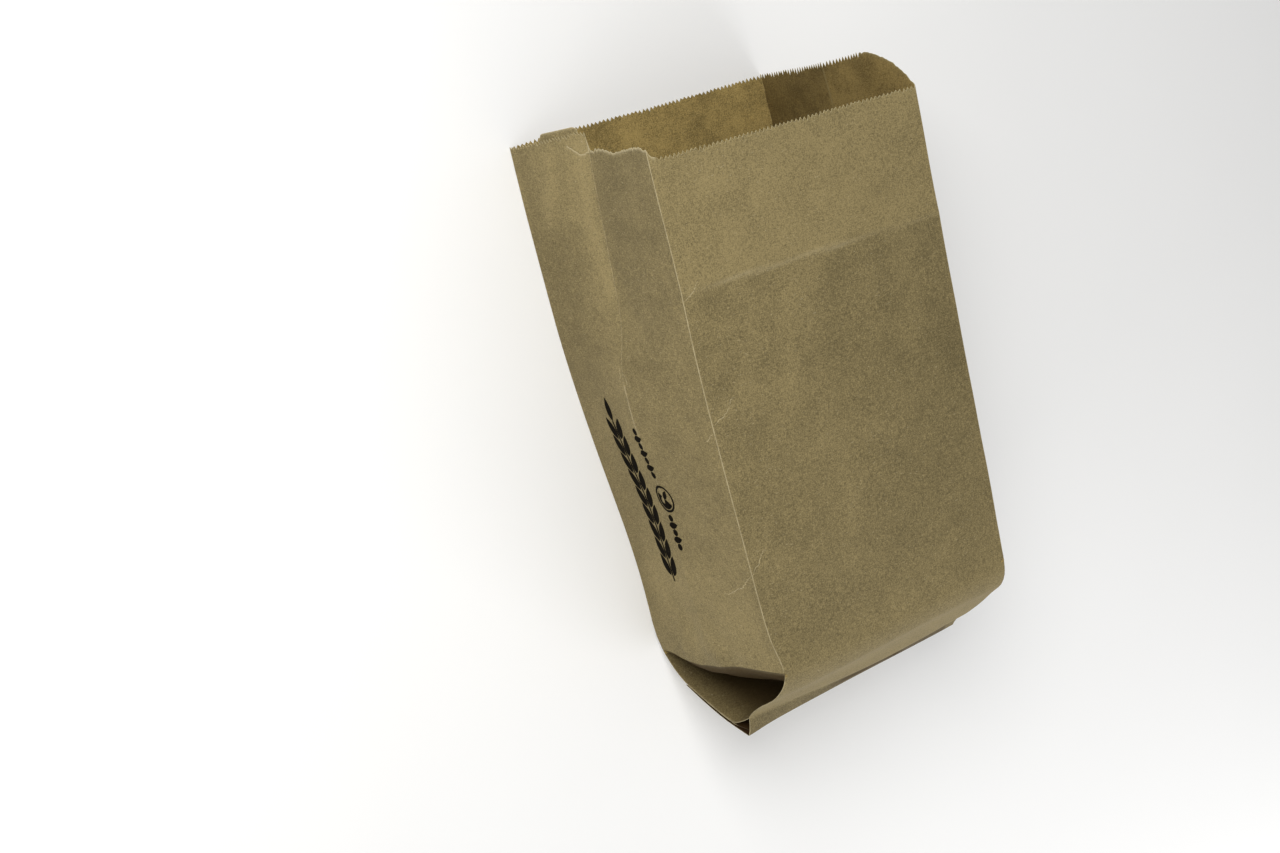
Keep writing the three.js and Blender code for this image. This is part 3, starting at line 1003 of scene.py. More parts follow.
@dataclass(frozen=True)
class Shading:
    """Painted light and shade: marks that paint the shade of the folds and the sheen of bent paper.

    Tones are steps of the shade mark, painted light above 0 and painted shade below. Depths are
    values of the marks of painted shade, from 0 in the open to 1 in the dark.

    Attributes:
        cross_rub, rubs: more wear where it is rubbed, at (middle, reach) across the panel.
        top_tone, top_more: painted light over the cross crease, and how much more close to it.
        gap, band: rise and fall across the bag of the painted shade over the fold and at the knee.
        roof_tone, roof_depth: painted shade inside a pocket, under the gusset.
        roof_zone: shares of the pocket between which it gets deep.
        lining_depth, lining_zone: painted shade on a pocket's lining, and the x between which it grows.
        sharp_zone: heights between which the left gusset's middle crease starts to shade.
        beside, ahead: painted light behind and painted shade in front of that crease, low and high.
        top_fold, fold_tone: the gusset's cross fold, from its middle to its back, and the painted light
            above it.
        inner_depth: painted shade inside the right gusset, in its front and its back half.
    """

    cross_wear: float = 0.22
    cross_rub: float = 0.34
    rubs: Pairs = ((34.0, 15.0), (72.0, 13.0))
    cross_reach: float = 1.1
    top_tone: float = 1.7
    top_more: float = 0.3
    top_reach: float = 26.0
    slope_tone: float = 3.3
    slope_zone: Range = (-14.0, 28.0)
    strip_tone: float = -4.6
    gap: Pairs = ((42.0, 60.0), (84.0, 94.0))
    gap_depth: float = 0.8
    band: Pairs = ((82.0, 92.0), (120.0, 124.0))
    band_depth: float = 0.62
    end: Range = (108.0, 118.0)
    end_depth: float = 0.7
    roof_tone: float = -1.4
    roof_depth: float = 0.9
    roof_zone: Range = (0.0, 0.05)
    lining_depth: Range = (0.3, 0.9)
    lining_zone: Range = (3.0, 20.0)
    sharp_zone: Range = (164.0, 180.0)
    beside: Range = (2.6, 1.2)
    beside_reach: float = 0.06
    ahead: Range = (-0.8, -1.0)
    top_fold: Range = (243.6, 236.5)
    fold_tone: float = 1.5
    inner_depth: Range = (0.4, 0.48)
    inner_zone: Range = (180.0, 240.0)

    def front_wear(self, x: np.ndarray, above: np.ndarray) -> np.ndarray:
        """Wear of the cross crease, at places across the panel and heights above the crease."""
        rubbed = sum(self.cross_rub * bell(x - middle, reach) for middle, reach in self.rubs)
        return (self.cross_wear + rubbed) * bell(above, self.cross_reach)

    def front_top(self, above: np.ndarray) -> np.ndarray:
        """Painted light on the front panel at heights above its cross crease."""
        return smoothstep(above, -1.5, 1.5) * (self.top_tone + self.top_more * bell(above, self.top_reach))

    def slope(self, runs: np.ndarray, knee: float) -> np.ndarray:
        """Painted sheen on the front slope and painted shade on the strip, at distances from the ridge."""
        strip = self.strip_tone * smoothstep(runs, knee - 1.0, knee + 1.5)
        return self.slope_tone * smoothstep(runs, *self.slope_zone) + strip

    def strip(self, x: np.ndarray, runs: np.ndarray, knee: float, fold: float) -> np.ndarray:
        """Paints the shade where the strip and the flap beside the fold lie in the dark.

        Args:
            x: the columns' places across the bag.
            runs: the rows' distances from the ridge.
            knee: the distance of the knee over the strip.
            fold: the distance of the fold under it.

        Returns:
            The depth of every point.
        """
        over_fold = window(runs, (knee - 0.8, knee + 0.8), (fold - 4.0, fold - 1.5))
        down_slope = window(runs, (knee - 2.4, knee - 0.4), (fold, fold + 4.0))
        on_flap = window(runs, (fold, fold + 1.2), (fold + 2.0, fold + 9.0))
        dark = self.gap_depth * np.outer(over_fold, window(x, *self.gap))
        dark += self.band_depth * np.outer(down_slope, window(x, *self.band))
        return np.maximum(dark, self.end_depth * np.outer(on_flap, smoothstep(x, *self.end)))

    def left_gusset(self, shares: np.ndarray, heights: np.ndarray) -> np.ndarray:
        """Finds the painted light and shade of the left gusset beside its middle crease, where that is
        sharp.

        Args:
            shares: where the columns are, front to back.
            heights: height of every point.

        Returns:
            The tone of every point.
        """
        sharp = smoothstep(heights, *self.sharp_zone)
        fold = lerp(*self.top_fold, np.clip((shares - 0.5) / 0.5, 0, 1))
        upper = self.fold_tone * smoothstep(heights - fold, -1.2, 1.2)
        beside = lerp(*self.beside, smoothstep(heights, 200.0, 245.0))
        beside = beside * np.exp(-(shares - 0.5) / self.beside_reach)
        ahead = lerp(*self.ahead, smoothstep(heights, 190.0, 235.0))
        return sharp * lerp(ahead, beside + upper - 0.3, smoothstep(shares, 0.497, 0.503))

    def right_gusset(self, shares: np.ndarray, heights: np.ndarray) -> np.ndarray:
        """Painted shade on the right gusset's inner side; the values are as for the left gusset."""
        depth = lerp(*self.inner_depth, smoothstep(shares, 0.495, 0.505))
        return depth * smoothstep(heights, *self.inner_zone)


@dataclass
class PaperBag:
    """The bag: one sheet of kraft paper, folded, pinched at the bottom and cut at the mouth.

    Attributes:
        crease_round, crease_step: how far beside a crease it is round, and how far it turns in.
        ply_inset: between the plies that lie flat together in a pocket.
        folded_zone: shares of a pocket between which they come to lie flat.
        panel_steps, gusset_steps: columns of a wall, two for each tooth of a panel's mouth.
        level_zones: the straight tube's level rows, as (from, to, step).
        under_mouth: how far below the edge the rows stop following its teeth.
        ridge_rows: rows from the tube's foot to the ridge.
        near_ridge, pocket_rows: a pocket's rows near its ridge, and how many more there are.
        back_inset: how much narrower the back panel is at the pinch, at each side.
        tuck: how far the roof of the pocket rolls under its ridge.
    """

    maker: SheetMaker
    mouth: Mouth = field(default_factory=Mouth)
    shading: Shading = field(default_factory=Shading)
    thickness: float = 0.22
    crease_round: float = 0.45
    crease_step: float = 0.12
    ply_inset: float = 0.25
    folded_zone: Range = (0.0, 0.08)
    panel_steps: int = 130
    gusset_steps: int = 106
    tube_foot: float = 60.0
    level_zones: tuple[Point, ...] = (
        *((60.0, 128.0, 6.5), (130.0, 197.5, 3.0)),
        *((199.0, 223.5, 1.8), (225.5, 254.0, 3.6)),
    )
    brow: float = 257.0
    under_mouth: float = 3.6
    fringe: float = 0.5
    ridge_rows: int = 5
    near_ridge: tuple[float, ...] = (0.0, 0.012, 0.025, 0.04, 0.055, 0.07, 0.09, 0.12)
    pocket_rows: int = 12
    seam_x: float = 17.0
    seam_step: float = 0.35
    back_inset: float = 3.0
    tuck: float = 1.7

    @property
    def shape(self) -> BagShape:
        """The bag's sizes."""
        return self.maker.shape

    def columns(self, length: float, steps: int) -> tuple[np.ndarray, np.ndarray]:
        """Places the columns across a wall, with one more close to each crease.

        Args:
            length: the wall's length across.
            steps: even steps across it, one for each side of a tooth.

        Returns:
            The share of each column, and its tooth step.
        """
        close = self.crease_round / length * steps
        whole = np.concatenate([[0.0, close], np.arange(1, steps), [steps - close, steps]])
        return whole / steps, whole

    def tube_heights(self) -> np.ndarray:
        """Heights of the level rows, from the brow down."""
        zones = [np.arange(low, high, step) for low, high, step in self.level_zones]
        return np.concatenate([*zones, [self.brow]])[::-1]

    def tube_rows(self, wall: Wall, shares: np.ndarray, whole: np.ndarray) -> np.ndarray:
        """Finds the height of every point of a wall's tube part, from the cut edge down.

        Args:
            wall: the wall.
            shares: where the columns are.
            whole: the tooth step at each column.

        Returns:
            Heights, one row of the sheet in each row.
        """
        base = self.mouth.base(wall, shares)
        cut = base - self.mouth.dips(wall, shares, whole)
        under = base - self.under_mouth
        between = [lerp(under, self.brow, share) for share in (0.3, 0.65)]
        upper = [cut, cut - self.fringe, under, *between]
        level = [np.full_like(base, height) for height in self.tube_heights()]
        return np.array(upper + level)

    def mouth_marks(self, wall: Wall, shares: np.ndarray, rows: int, ends: Sequence[int]) -> np.ndarray:
        """Makes the edge marks of a wall, wider where the mouth is torn.

        Args:
            wall: the wall.
            shares: where the columns are.
            rows: how many rows the sheet has.
            ends: the rows on a cut edge.

        Returns:
            1 on the cut edge and 0 away from it.
        """
        marks = np.zeros((rows, len(shares)))
        marks[list(ends)] = 1.0
        marks[1] = np.where(self.mouth.torn(wall, shares), 0.88, 0.0)
        return marks

    def pocket_shares(self) -> tuple[np.ndarray, int]:
        """Places the rows of a pocket from its ridge to the pinch, as shares of the way.

        Returns:
            The shares, and which of them is where the lining leaves the back panel.
        """
        lining = self.shape.back_lining_line()
        pinch = lining.reach[-1]
        leave = 1.0 - (np.linalg.norm(lining.points[-1] - lining.points[-2]) + 2.0) / pinch
        even = np.linspace(0.16, leave, self.pocket_rows)
        shares = np.concatenate([self.near_ridge, even, np.linspace(leave, 1.0, 6)[1:]])
        return shares, len(self.near_ridge) + self.pocket_rows - 1

    def crease_wear_and_highlight(self, shares: np.ndarray, rows: int, middle: bool) -> np.ndarray:
        """Makes the marks of rubbed wear and painted highlight along the creases of a wall.

        Args:
            shares: where the columns are.
            rows: how many rows the sheet has.
            middle: whether the wall has a crease in its middle.

        Returns:
            1 on a crease and 0 beside it.
        """
        wear_and_highlight = np.where((shares < 1e-6) | (shares > 1 - 1e-6), 1.0, 0.0)
        if middle:
            wear_and_highlight = np.maximum(wear_and_highlight, np.where(np.abs(shares - 0.5) < 1e-6, 0.8, 0.0))
        return np.tile(wear_and_highlight, (rows, 1))

    def folded(self, shares: Value) -> Value:
        """How far a pocket's plies have come to lie flat together, at shares of its way."""
        return smoothstep(shares, *self.folded_zone)

    def back_start(self) -> float:
        """Distance of the tube's foot from the ridge along the back panel."""
        line = self.shape.back_line()
        return float(np.interp(-self.tube_foot, -line.points[:3, 1], line.reach[:3]))

    def front_panel(self) -> bpy.types.Object:
        """Makes the front panel, its slope, the strip above the fold and the flap's outer ply.

        Returns:
            The sheet.
        """
        shape, shading = self.shape, self.shading
        shares, whole = self.columns(shape.width, self.panel_steps)
        line = shape.front_line()
        x = shares * shape.width
        tube = self.tube_rows(Wall.FRONT, shares, whole)
        knee = shape.knee_reach()
        pocket, _ = self.pocket_shares()
        upper = np.linspace(shape.ridge_front - self.tube_foot, 0.0, self.ridge_rows + 1)[1:]
        end = line.reach[-1]
        fold, bend = end - shape.flap_length, shape.fold_radius
        strip = np.linspace(knee, fold - bend, 6)[1:]
        turn = np.linspace(fold - bend, fold + bend, 6)[1:]
        flap = np.concatenate([np.linspace(fold + bend, end - 2.6, 8)[1:], [end]])
        runs = np.concatenate([upper, pocket[1:] * knee, strip, turn, flap])
        levels = len(tube)
        rows = levels + len(runs)
        flat = np.zeros((rows, len(x), 3))
        flat[..., 0] = x
        flat[:levels, :, 1] = tube
        flat[:levels, :, 2] = shape.depth
        inset = np.zeros((len(runs), len(x)))
        folded = slice(len(upper), len(upper) + len(pocket) - 1)
        inset[folded, 0] = inset[folded, -1] = self.ply_inset * self.folded(pocket[1:])
        run = np.tile(runs[:, None], (1, len(x)))
        run[-1] -= self.flap_teeth(whole)
        side = line.at(run, inset)
        flat[levels:, :, 2], flat[levels:, :, 1] = side[..., 0], side[..., 1]
        flat[:levels, [0, -1], 2] -= self.crease_step
        on_strip = levels + folded.stop
        wear_and_highlight = self.crease_wear_and_highlight(shares, rows, False)
        # The middle of the bottom fold's turn gets a pale line: rubbed wear and painted highlight.
        wear_and_highlight[on_strip + len(strip) + 3] = 0.5
        above = flat[:levels, :, 1] - lerp(shape.cross_left, shape.cross_right, shares)
        wear_and_highlight[:levels] = np.maximum(wear_and_highlight[:levels], shading.front_wear(x, above))
        shade, inside_shade, hollow_shade = np.zeros((3, rows, len(x)))
        # Painted light above the cross crease.
        shade[:levels] = shading.front_top(above)
        # Painted sheen on the slope and painted shade on the strip.
        shade[levels:] = shading.slope(runs, knee)[:, None]
        # Painted shade on the inner side past the strip, in the gap at the fold.
        inside_shade[on_strip + 1 :] = 1.0
        # Painted shade over the fold and at the flap's end.
        hollow_shade[levels:] = shading.strip(x, runs, knee, fold)
        edge = self.mouth_marks(Wall.FRONT, shares, rows, (0, rows - 1))
        marks = {"wear_and_highlight": wear_and_highlight, "edge": edge, "shade": shade, "inside_shade": inside_shade, "hollow_shade": hollow_shade}
        return self.maker.lay("front_panel", flat, (0, 0, 1), marks)

    def flap_teeth(self, whole: np.ndarray) -> np.ndarray:
        """How much shorter the flap's teeth make it, at each column."""
        number = np.arange(int(whole.max()) + 1)
        return np.interp(whole, number, np.where(number % 2 == 1, self.mouth.tooth_depth, 0.0))

    def back_panel(self) -> bpy.types.Object:
        """Makes the back panel with its glued seam, its slope, and the flap's inner ply.

        Returns:
            The sheet.
        """
        shape = self.shape
        shares, whole = self.columns(shape.width, self.panel_steps)
        line = shape.back_line()
        tube = self.tube_rows(Wall.BACK, shares, whole)
        pocket, leave = self.pocket_shares()
        pinch = shape.back_lining_line().reach[-1]
        upper = np.linspace(self.back_start(), 0.0, self.ridge_rows + 1)[1:]
        turn_end = line.reach[-2]
        last = pocket[leave] * pinch
        hairpin = math.pi * shape.inner_ply_gap / 2
        foot = turn_end - hairpin
        lower = np.linspace(last, foot, 6)[1:]
        turn = np.linspace(foot, turn_end, 7)[1:]
        ply = np.linspace(turn_end, line.reach[-1], 7)[1:]
        runs = np.concatenate([upper, pocket[1 : leave + 1] * pinch, lower, turn, ply])
        levels = len(tube)
        rows = levels + len(runs)
        flat = np.zeros((rows, len(shares), 3))
        flat[..., 0] = shares * shape.width
        flat[:levels, :, 1] = tube
        inset = np.zeros((len(runs), len(shares)))
        folded = slice(len(upper), len(upper) + leave)
        inset[folded, 0] = inset[folded, -1] = self.ply_inset * self.folded(pocket[1 : leave + 1])
        side = line.at(np.tile(runs[:, None], (1, len(shares))), inset)
        flat[levels:, :, 2], flat[levels:, :, 1] = side[..., 0], side[..., 1]
        flat[:levels, [0, -1], 2] += self.crease_step
        x = flat[..., 0]
        over = smoothstep(x, self.seam_x - 0.05, self.seam_x + 0.05)
        free = smoothstep(x, 0.0, 4.0)
        lifted = self.seam_step * (1.0 - over) * free
        flat[:levels, :, 2] += (self.seam_step - lifted[:levels]) * free[:levels]
        recess = levels + folded.stop
        near = smoothstep(np.arange(rows) - recess, -1.0, 6.0)[:, None]
        squeeze = 1.0 - 2.0 * near * self.back_inset / shape.width
        flat[..., 0] = shape.width / 2 + (flat[..., 0] - shape.width / 2) * squeeze
        # Painted shade on both sides of the back panel past the pinch, in the recess at the fold.
        inside_shade, hollow_shade = np.zeros((2, *flat.shape[:2]))
        inside_shade[recess:] = 1.0
        hollow_shade[recess + 1 :] = 0.92
        wear_and_highlight = self.crease_wear_and_highlight(shares, rows, False)
        edge = self.mouth_marks(Wall.BACK, shares, rows, (0, rows - 1))
        marks = {"wear_and_highlight": wear_and_highlight, "edge": edge, "inside_shade": inside_shade, "hollow_shade": hollow_shade}
        return self.maker.lay("back_panel", flat, (0, 0, -1), marks)

    def gusset(self, side: Wall) -> bpy.types.Object:
        """Makes a gusset's wall and the roof of its pocket.

        Args:
            side: which gusset.

        Returns:
            The sheet.
        """
        shape = self.shape
        shares, whole = self.columns(shape.depth, self.gusset_steps)
        tube = self.tube_rows(side, shares, whole)
        front, back, lining = shape.front_line(), shape.back_line(), shape.back_lining_line()
        pocket, _ = self.pocket_shares()
        knee, start = shape.knee_reach(), self.back_start()
        levels = len(tube)
        rows = levels + self.ridge_rows + len(pocket) - 1
        flat = np.zeros((rows, len(shares), 3))
        flat[:levels, :, 1] = tube
        flat[:levels, :, 2] = lerp(shape.depth, 0.0, shares)
        flat[:levels, 0, 2] -= self.crease_step
        flat[:levels, -1, 2] += self.crease_step
        sag = np.sin(math.pi * shares)
        drop = shape.ridge_drop(shares)
        for step in range(self.ridge_rows):
            share = (step + 1) / self.ridge_rows
            ahead = front.at((1 - share) * (shape.ridge_front - self.tube_foot))
            behind = back.at((1 - share) * start)
            mixed = lerp(ahead[None], behind[None], shares[:, None])
            flat[levels + step, :, 2] = mixed[:, 0]
            flat[levels + step, :, 1] = mixed[:, 1] + drop * share**2
        for step, share in enumerate(pocket[1:]):
            deep = 2 * self.ply_inset * float(self.folded(share))
            ahead = front.at(share * knee, deep)
            behind = lining.at(share * lining.reach[-1], deep)
            mixed = lerp(ahead[None], behind[None], shares[:, None])
            row = levels + self.ridge_rows + step
            roll = float(bell(share - 0.045, 0.03))
            tuck = self.tuck * float(bell(share - 0.03, 0.022)) - 1.5 * float(bell(share - 0.085, 0.03))
            flat[row, :, 0] = shape.depth / 2 * share - 1.2 * roll * sag
            flat[row, :, 2] = mixed[:, 0]
            flat[row, :, 1] = mixed[:, 1] + drop * (1 - share) ** 3 + tuck * sag
        wear_and_highlight = self.crease_wear_and_highlight(shares, rows, True)
        middle = len(shares) // 2
        wear_and_highlight[:, middle] *= smoothstep(flat[:, middle, 1], self.tube_foot, 200.0)
        roof = levels + self.ridge_rows
        # A pale line along the small fold under the pocket's ridge: painted highlight.
        wear_and_highlight[roof + 2] = 0.4
        shade, inside_shade, hollow_shade = np.zeros((3, *flat.shape[:2]))
        # Painted shade inside the pocket, under the gusset's roof.
        shade[roof:] = self.shading.roof_tone
        hollow_shade[roof:] = self.shading.roof_depth * smoothstep(pocket[1:, None], *self.shading.roof_zone)
        # Painted light behind the left gusset's middle crease and painted shade in front of it; painted
        # shade inside the right gusset.
        if side is Wall.LEFT:
            shade += self.shading.left_gusset(shares, flat[..., 1])
        else:
            inside_shade = self.shading.right_gusset(shares, flat[..., 1])
        edge = self.mouth_marks(side, shares, rows, (0,))
        marks = {"wear_and_highlight": wear_and_highlight, "edge": edge, "shade": shade, "inside_shade": inside_shade, "hollow_shade": hollow_shade}
        return self.lay_side(f"{side.value}_gusset", flat, (-1, 0, 0), marks, side)

    def lining(self, side: Wall, front: bool) -> bpy.types.Object:
        """Makes the half of a gusset that is folded flat on a slope inside a pocket.

        Args:
            side: which gusset.
            front: on the front slope, or else on the back slope.

        Returns:
            The sheet.
        """
        shape = self.shape
        pocket, leave = self.pocket_shares()
        across = np.array([0.0, 0.03, 0.09, 0.17, *np.linspace(0.25, 1.0, 13)])
        line = shape.front_line() if front else shape.back_lining_line()
        end = shape.knee_reach() if front else float(line.reach[-1])
        inset = self.folded(pocket)[:, None] * self.ply_inset * (1.0 + smoothstep(across, 0.0, 0.03)[None])
        run = np.tile((pocket * end)[:, None], (1, len(across)))
        placed = line.at(run, inset)
        flat = np.zeros((len(pocket), len(across), 3))
        flat[..., 0] = shape.depth / 2 * pocket[:, None] * across[None]
        flat[..., 2], flat[..., 1] = placed[..., 0], placed[..., 1]
        wear_and_highlight = np.zeros(flat.shape[:2])
        wear_and_highlight[:, 0] = 1.0
        # Painted shade on the pocket's lining, deeper away from the gusset's edge.
        hollow_shade = lerp(*self.shading.lining_depth, smoothstep(flat[..., 0], *self.shading.lining_zone))
        facing = (0, 0.55, -0.83) if front else (0, 0.9, 0.4)
        name = f"{side.value}_lining_{'front' if front else 'back'}"
        return self.lay_side(name, flat, facing, {"wear_and_highlight": wear_and_highlight, "hollow_shade": hollow_shade}, side)

    def lay_side(
        self, name: str, flat: np.ndarray, facing: Point, marks: dict[str, np.ndarray], side: Wall
    ) -> bpy.types.Object:
        """Lays a sheet made for the left side, turned left for right where it is the right's.

        Args:
            name: the sheet's name.
            flat: its points at the left side.
            facing: roughly where its outer side faces there.
            marks: values for every point.
            side: which gusset it is for.

        Returns:
            The sheet.
        """
        if side is Wall.RIGHT:
            flat = flat.copy()
            flat[..., 0] = self.shape.width - flat[..., 0]
            facing = (-facing[0], facing[1], facing[2])
        return self.maker.lay(name, flat, facing, marks)

    def build(self) -> bpy.types.Object:
        """Folds every sheet and joins them.

        Returns:
            The bag's paper, one layer of faces.
        """
        sheets = [self.front_panel(), self.back_panel()]
        for side in (Wall.LEFT, Wall.RIGHT):
            sheets += [self.gusset(side), self.lining(side, True), self.lining(side, False)]
        paper = join("bag_paper", sheets)
        merge_doubles(paper, 0.04 * MM)
        return paper

    def dress(self, paper: bpy.types.Object, finishes: Finishes) -> None:
        """Gives the paper its thickness, and each of its faces a finish."""
        thicken(paper, self.thickness, finishes)


def thicken(paper: bpy.types.Object, thickness: float, finishes: Finishes) -> None:
    """Gives a sheet its thickness inward, and its finishes.

    Args:
        paper: one layer of faces that point outward.
        thickness: millimetres.
        finishes: the finish of each layer.
    """
    paper.data.materials.clear()
    for layer in Layer:
        paper.data.materials.append(finishes[layer])
    apply_modifier(
        paper,
        "SOLIDIFY",
        thickness=thickness * MM,
        offset=-1.0,
        use_rim=True,
        use_even_offset=False,
        material_offset=Layer.INSIDE.value,
        material_offset_rim=Layer.CUT_EDGE.value,
    )
    pick(paper)
    bpy.ops.object.shade_smooth_by_angle(angle=math.radians(38))


@dataclass
class MouthPlies:
    """The second ply at the left gusset's mouth: a torn seam and a straight-cut tab."""

    maker: SheetMaker
    thickness: float = 0.2
    seam_top: Pairs = (
        *((39.5, 275.6), (42.0, 274.6), (45.0, 272.6)),
        *((47.5, 271.0), (50.0, 271.4), (53.5, 272.6)),
    )
    seam_foot: float = 172.0
    seam_full: float = 215.0
    seam_width: float = 13.0
    seam_lap: float = 0.4
    seam_least: float = 0.3
    seam_lift: float = 0.28
    rag_seed: int = 3
    rag: float = 0.25
    tab_top: Pairs = ((22.0, 278.0), (24.3, 280.9), (45.0, 282.6), (47.5, 281.6))
    tab_foot: float = 262.0
    tab_inset: float = 0.3

    def seam(self) -> bpy.types.Object:
        """Makes the torn ply that overlaps the back half of the gusset.

        Returns:
            The ply, one layer of faces.
        """
        start = self.maker.shape.depth / 2 + self.seam_lap
        rows = np.linspace(1.0, 0.0, 40)
        across = np.linspace(0.0, 1.0, 16)
        flat = np.zeros((len(rows), len(across), 3))
        heights, tops = zip(*self.seam_top)
        chance = np.random.RandomState(self.rag_seed)
        rag = np.abs(chance.normal(size=len(across))) * self.rag
        for column, share in enumerate(across):
            z_top = start - self.seam_width * share
            top = float(np.interp(z_top, heights, tops)) - rag[column]
            for row, up in enumerate(rows):
                y = lerp(self.seam_foot, top, up)
                wide = self.seam_width * float(smoothstep(y, self.seam_foot, self.seam_full))
                flat[row, column] = (-self.seam_lift, y, start - (wide + self.seam_least) * share)
        edge = np.zeros(flat.shape[:2])
        edge[0] = 1.0
        edge[:, -1] = 0.6
        return self.maker.lay("seam_ply", flat, (-1, 0, 0), {"edge": edge})

    def tab(self) -> bpy.types.Object:
        """Makes the straight-cut ply that stands a little above the saw-cut edge.

        Returns:
            The ply, one layer of faces.
        """
        rows = np.linspace(1.0, 0.0, 10)
        across = np.linspace(self.tab_top[0][0], self.tab_top[-1][0], 26)
        heights, tops = zip(*self.tab_top)
        flat = np.zeros((len(rows), len(across), 3))
        for column, z in enumerate(across):
            top = float(np.interp(z, heights, tops))
            for row, up in enumerate(rows):
                flat[row, column] = (self.tab_inset, lerp(self.tab_foot, top, up), z)
        edge = np.zeros(flat.shape[:2])
        edge[0] = 1.0
        return self.maker.lay("mouth_tab", flat, (-1, 0, 0), {"edge": edge})

    def build(self) -> list[bpy.types.Object]:
        """Makes both plies, each one layer of faces."""
        return [self.seam(), self.tab()]

    def dress(self, plies: Sequence[bpy.types.Object], finishes: Finishes) -> None:
        """Gives the plies their thickness, and each of their faces a finish."""
        for ply in plies:
            thicken(ply, self.thickness, finishes)


# ---- Print ----


@dataclass
class InkStamp:
    """Shapes cut from a thin film of ink, laid out flat and then wrapped on the paper."""

    name: str
    shapes: list[bpy.types.Object] = field(default_factory=list)

    def _keep(self, turn: float, at: Range) -> None:
        """Turns the active flat shape, moves it into the layout and keeps it.

        Args:
            turn: its turn in radians.
            at: its middle in the layout.
        """
        shape = bpy.context.object
        spun = Matrix.Translation((at[0], at[1], 0.0)) @ Matrix.Rotation(turn, 4, "Z")
        shape.data.transform(spun)
        self.shapes.append(shape)

    def grain(self, at: Range, turn: float, length: float, width: float) -> None:
        """Adds a pointed grain.

        Args:
            at: its middle in the layout, millimetres along and across.
            turn: its turn in radians.
            length: from point to point.
            width: at its widest.
        """
        deselect()
        bpy.ops.mesh.primitive_grid_add(x_subdivisions=8, y_subdivisions=2, size=1)
        grain = bpy.context.object
        points = vertices_of(grain)
        along = points[:, 0] * 2
        points[:, 1] *= width * (1 - np.abs(along) ** 2.2) * (1.0 - 0.18 * along)
        points[:, 0] *= length
        set_vertices(grain, points)
        merge_doubles(grain, 0.01)
        self._keep(turn, at)

    def bar(self, at: Range, turn: float, length: float, width: float) -> None:
        """Adds a plain bar.

        Args:
            at: its middle in the layout.
            turn: its turn in radians.
            length: of the bar.
            width: of the bar.
        """
        deselect()
        bpy.ops.mesh.primitive_grid_add(x_subdivisions=max(1, round(length / 1.5)), y_subdivisions=1, size=1)
        bar = bpy.context.object
        set_vertices(bar, vertices_of(bar) * np.array([length, width, 1.0]))
        self._keep(turn, at)

    def disc(self, at: Range, radius: float) -> None:
        """Adds a round dot.

        Args:
            at: its middle in the layout.
            radius: of the dot.
        """
        deselect()
        bpy.ops.mesh.primitive_circle_add(vertices=20, radius=radius, fill_type="TRIFAN")
        self._keep(0.0, at)

    def half_disc(self, at: Range, turn: float, radius: float) -> None:
        """Adds half of a round dot.

        Args:
            at: the middle of its straight side in the layout.
            turn: that side's turn in radians.
            radius: of the dot.
        """
        deselect()
        bpy.ops.mesh.primitive_circle_add(vertices=32, radius=radius, fill_type="TRIFAN")
        half = bpy.context.object
        points = vertices_of(half)
        points[:, 1] = np.maximum(points[:, 1], 0.0)
        set_vertices(half, points)
        merge_doubles(half, 0.01)
        self._keep(turn, at)

    def thread(self, corners: Sequence[Range], width: float, seed: int) -> None:
        """Adds a thin line that wanders a little and ends in points.

        Args:
            corners: the line's corners in the layout.
            width: at its widest.
            seed: which way it wanders.
        """
        chance = np.random.RandomState(seed)
        line = np.array(corners, float)
        run = np.concatenate([[0.0], np.cumsum(np.linalg.norm(np.diff(line, axis=0), axis=1))])
        steps = max(4, round(run[-1] / 0.7))
        places = np.linspace(0.0, run[-1], steps + 1)
        middle = np.stack([np.interp(places, run, line[:, axis]) for axis in (0, 1)], axis=1)
        along = np.gradient(middle, axis=0)
        along /= np.linalg.norm(along, axis=1, keepdims=True)
        side = np.stack([-along[:, 1], along[:, 0]], axis=1)
        middle += side * chance.normal(size=(steps + 1, 1)) * 0.16
        taper = np.sin(math.pi * np.linspace(0.04, 0.96, steps + 1)) ** 0.6
        half = (width / 2 * taper * chance.uniform(0.45, 1.0, size=steps + 1))[:, None]
        deselect()
        bpy.ops.mesh.primitive_grid_add(x_subdivisions=steps, y_subdivisions=1, size=1)
        thread = bpy.context.object
        flat = np.concatenate([middle - side * half, middle + side * half])
        set_vertices(thread, np.column_stack([flat, np.zeros(len(flat))]))
        self._keep(0.0, (0.0, 0.0))

    def ring(self, at: Range, outer: float, inner: float) -> None:
        """Adds a round ring.

        Args:
            at: its middle in the layout.
            outer: its outer radius.
            inner: its inner radius.
        """
        deselect()
        bpy.ops.mesh.primitive_circle_add(vertices=40, radius=outer, fill_type="NOTHING")
        ring = bpy.context.object
        bpy.ops.object.mode_set(mode="EDIT")
        bpy.ops.mesh.select_all(action="SELECT")
        bpy.ops.mesh.extrude_region_move(TRANSFORM_OT_translate={"value": (0, 0, 0)})
        bpy.ops.transform.resize(value=(inner / outer, inner / outer, 1.0))
        bpy.ops.object.mode_set(mode="OBJECT")
        self.shapes.append(ring)
        ring.data.transform(Matrix.Translation((at[0], at[1], 0.0)))

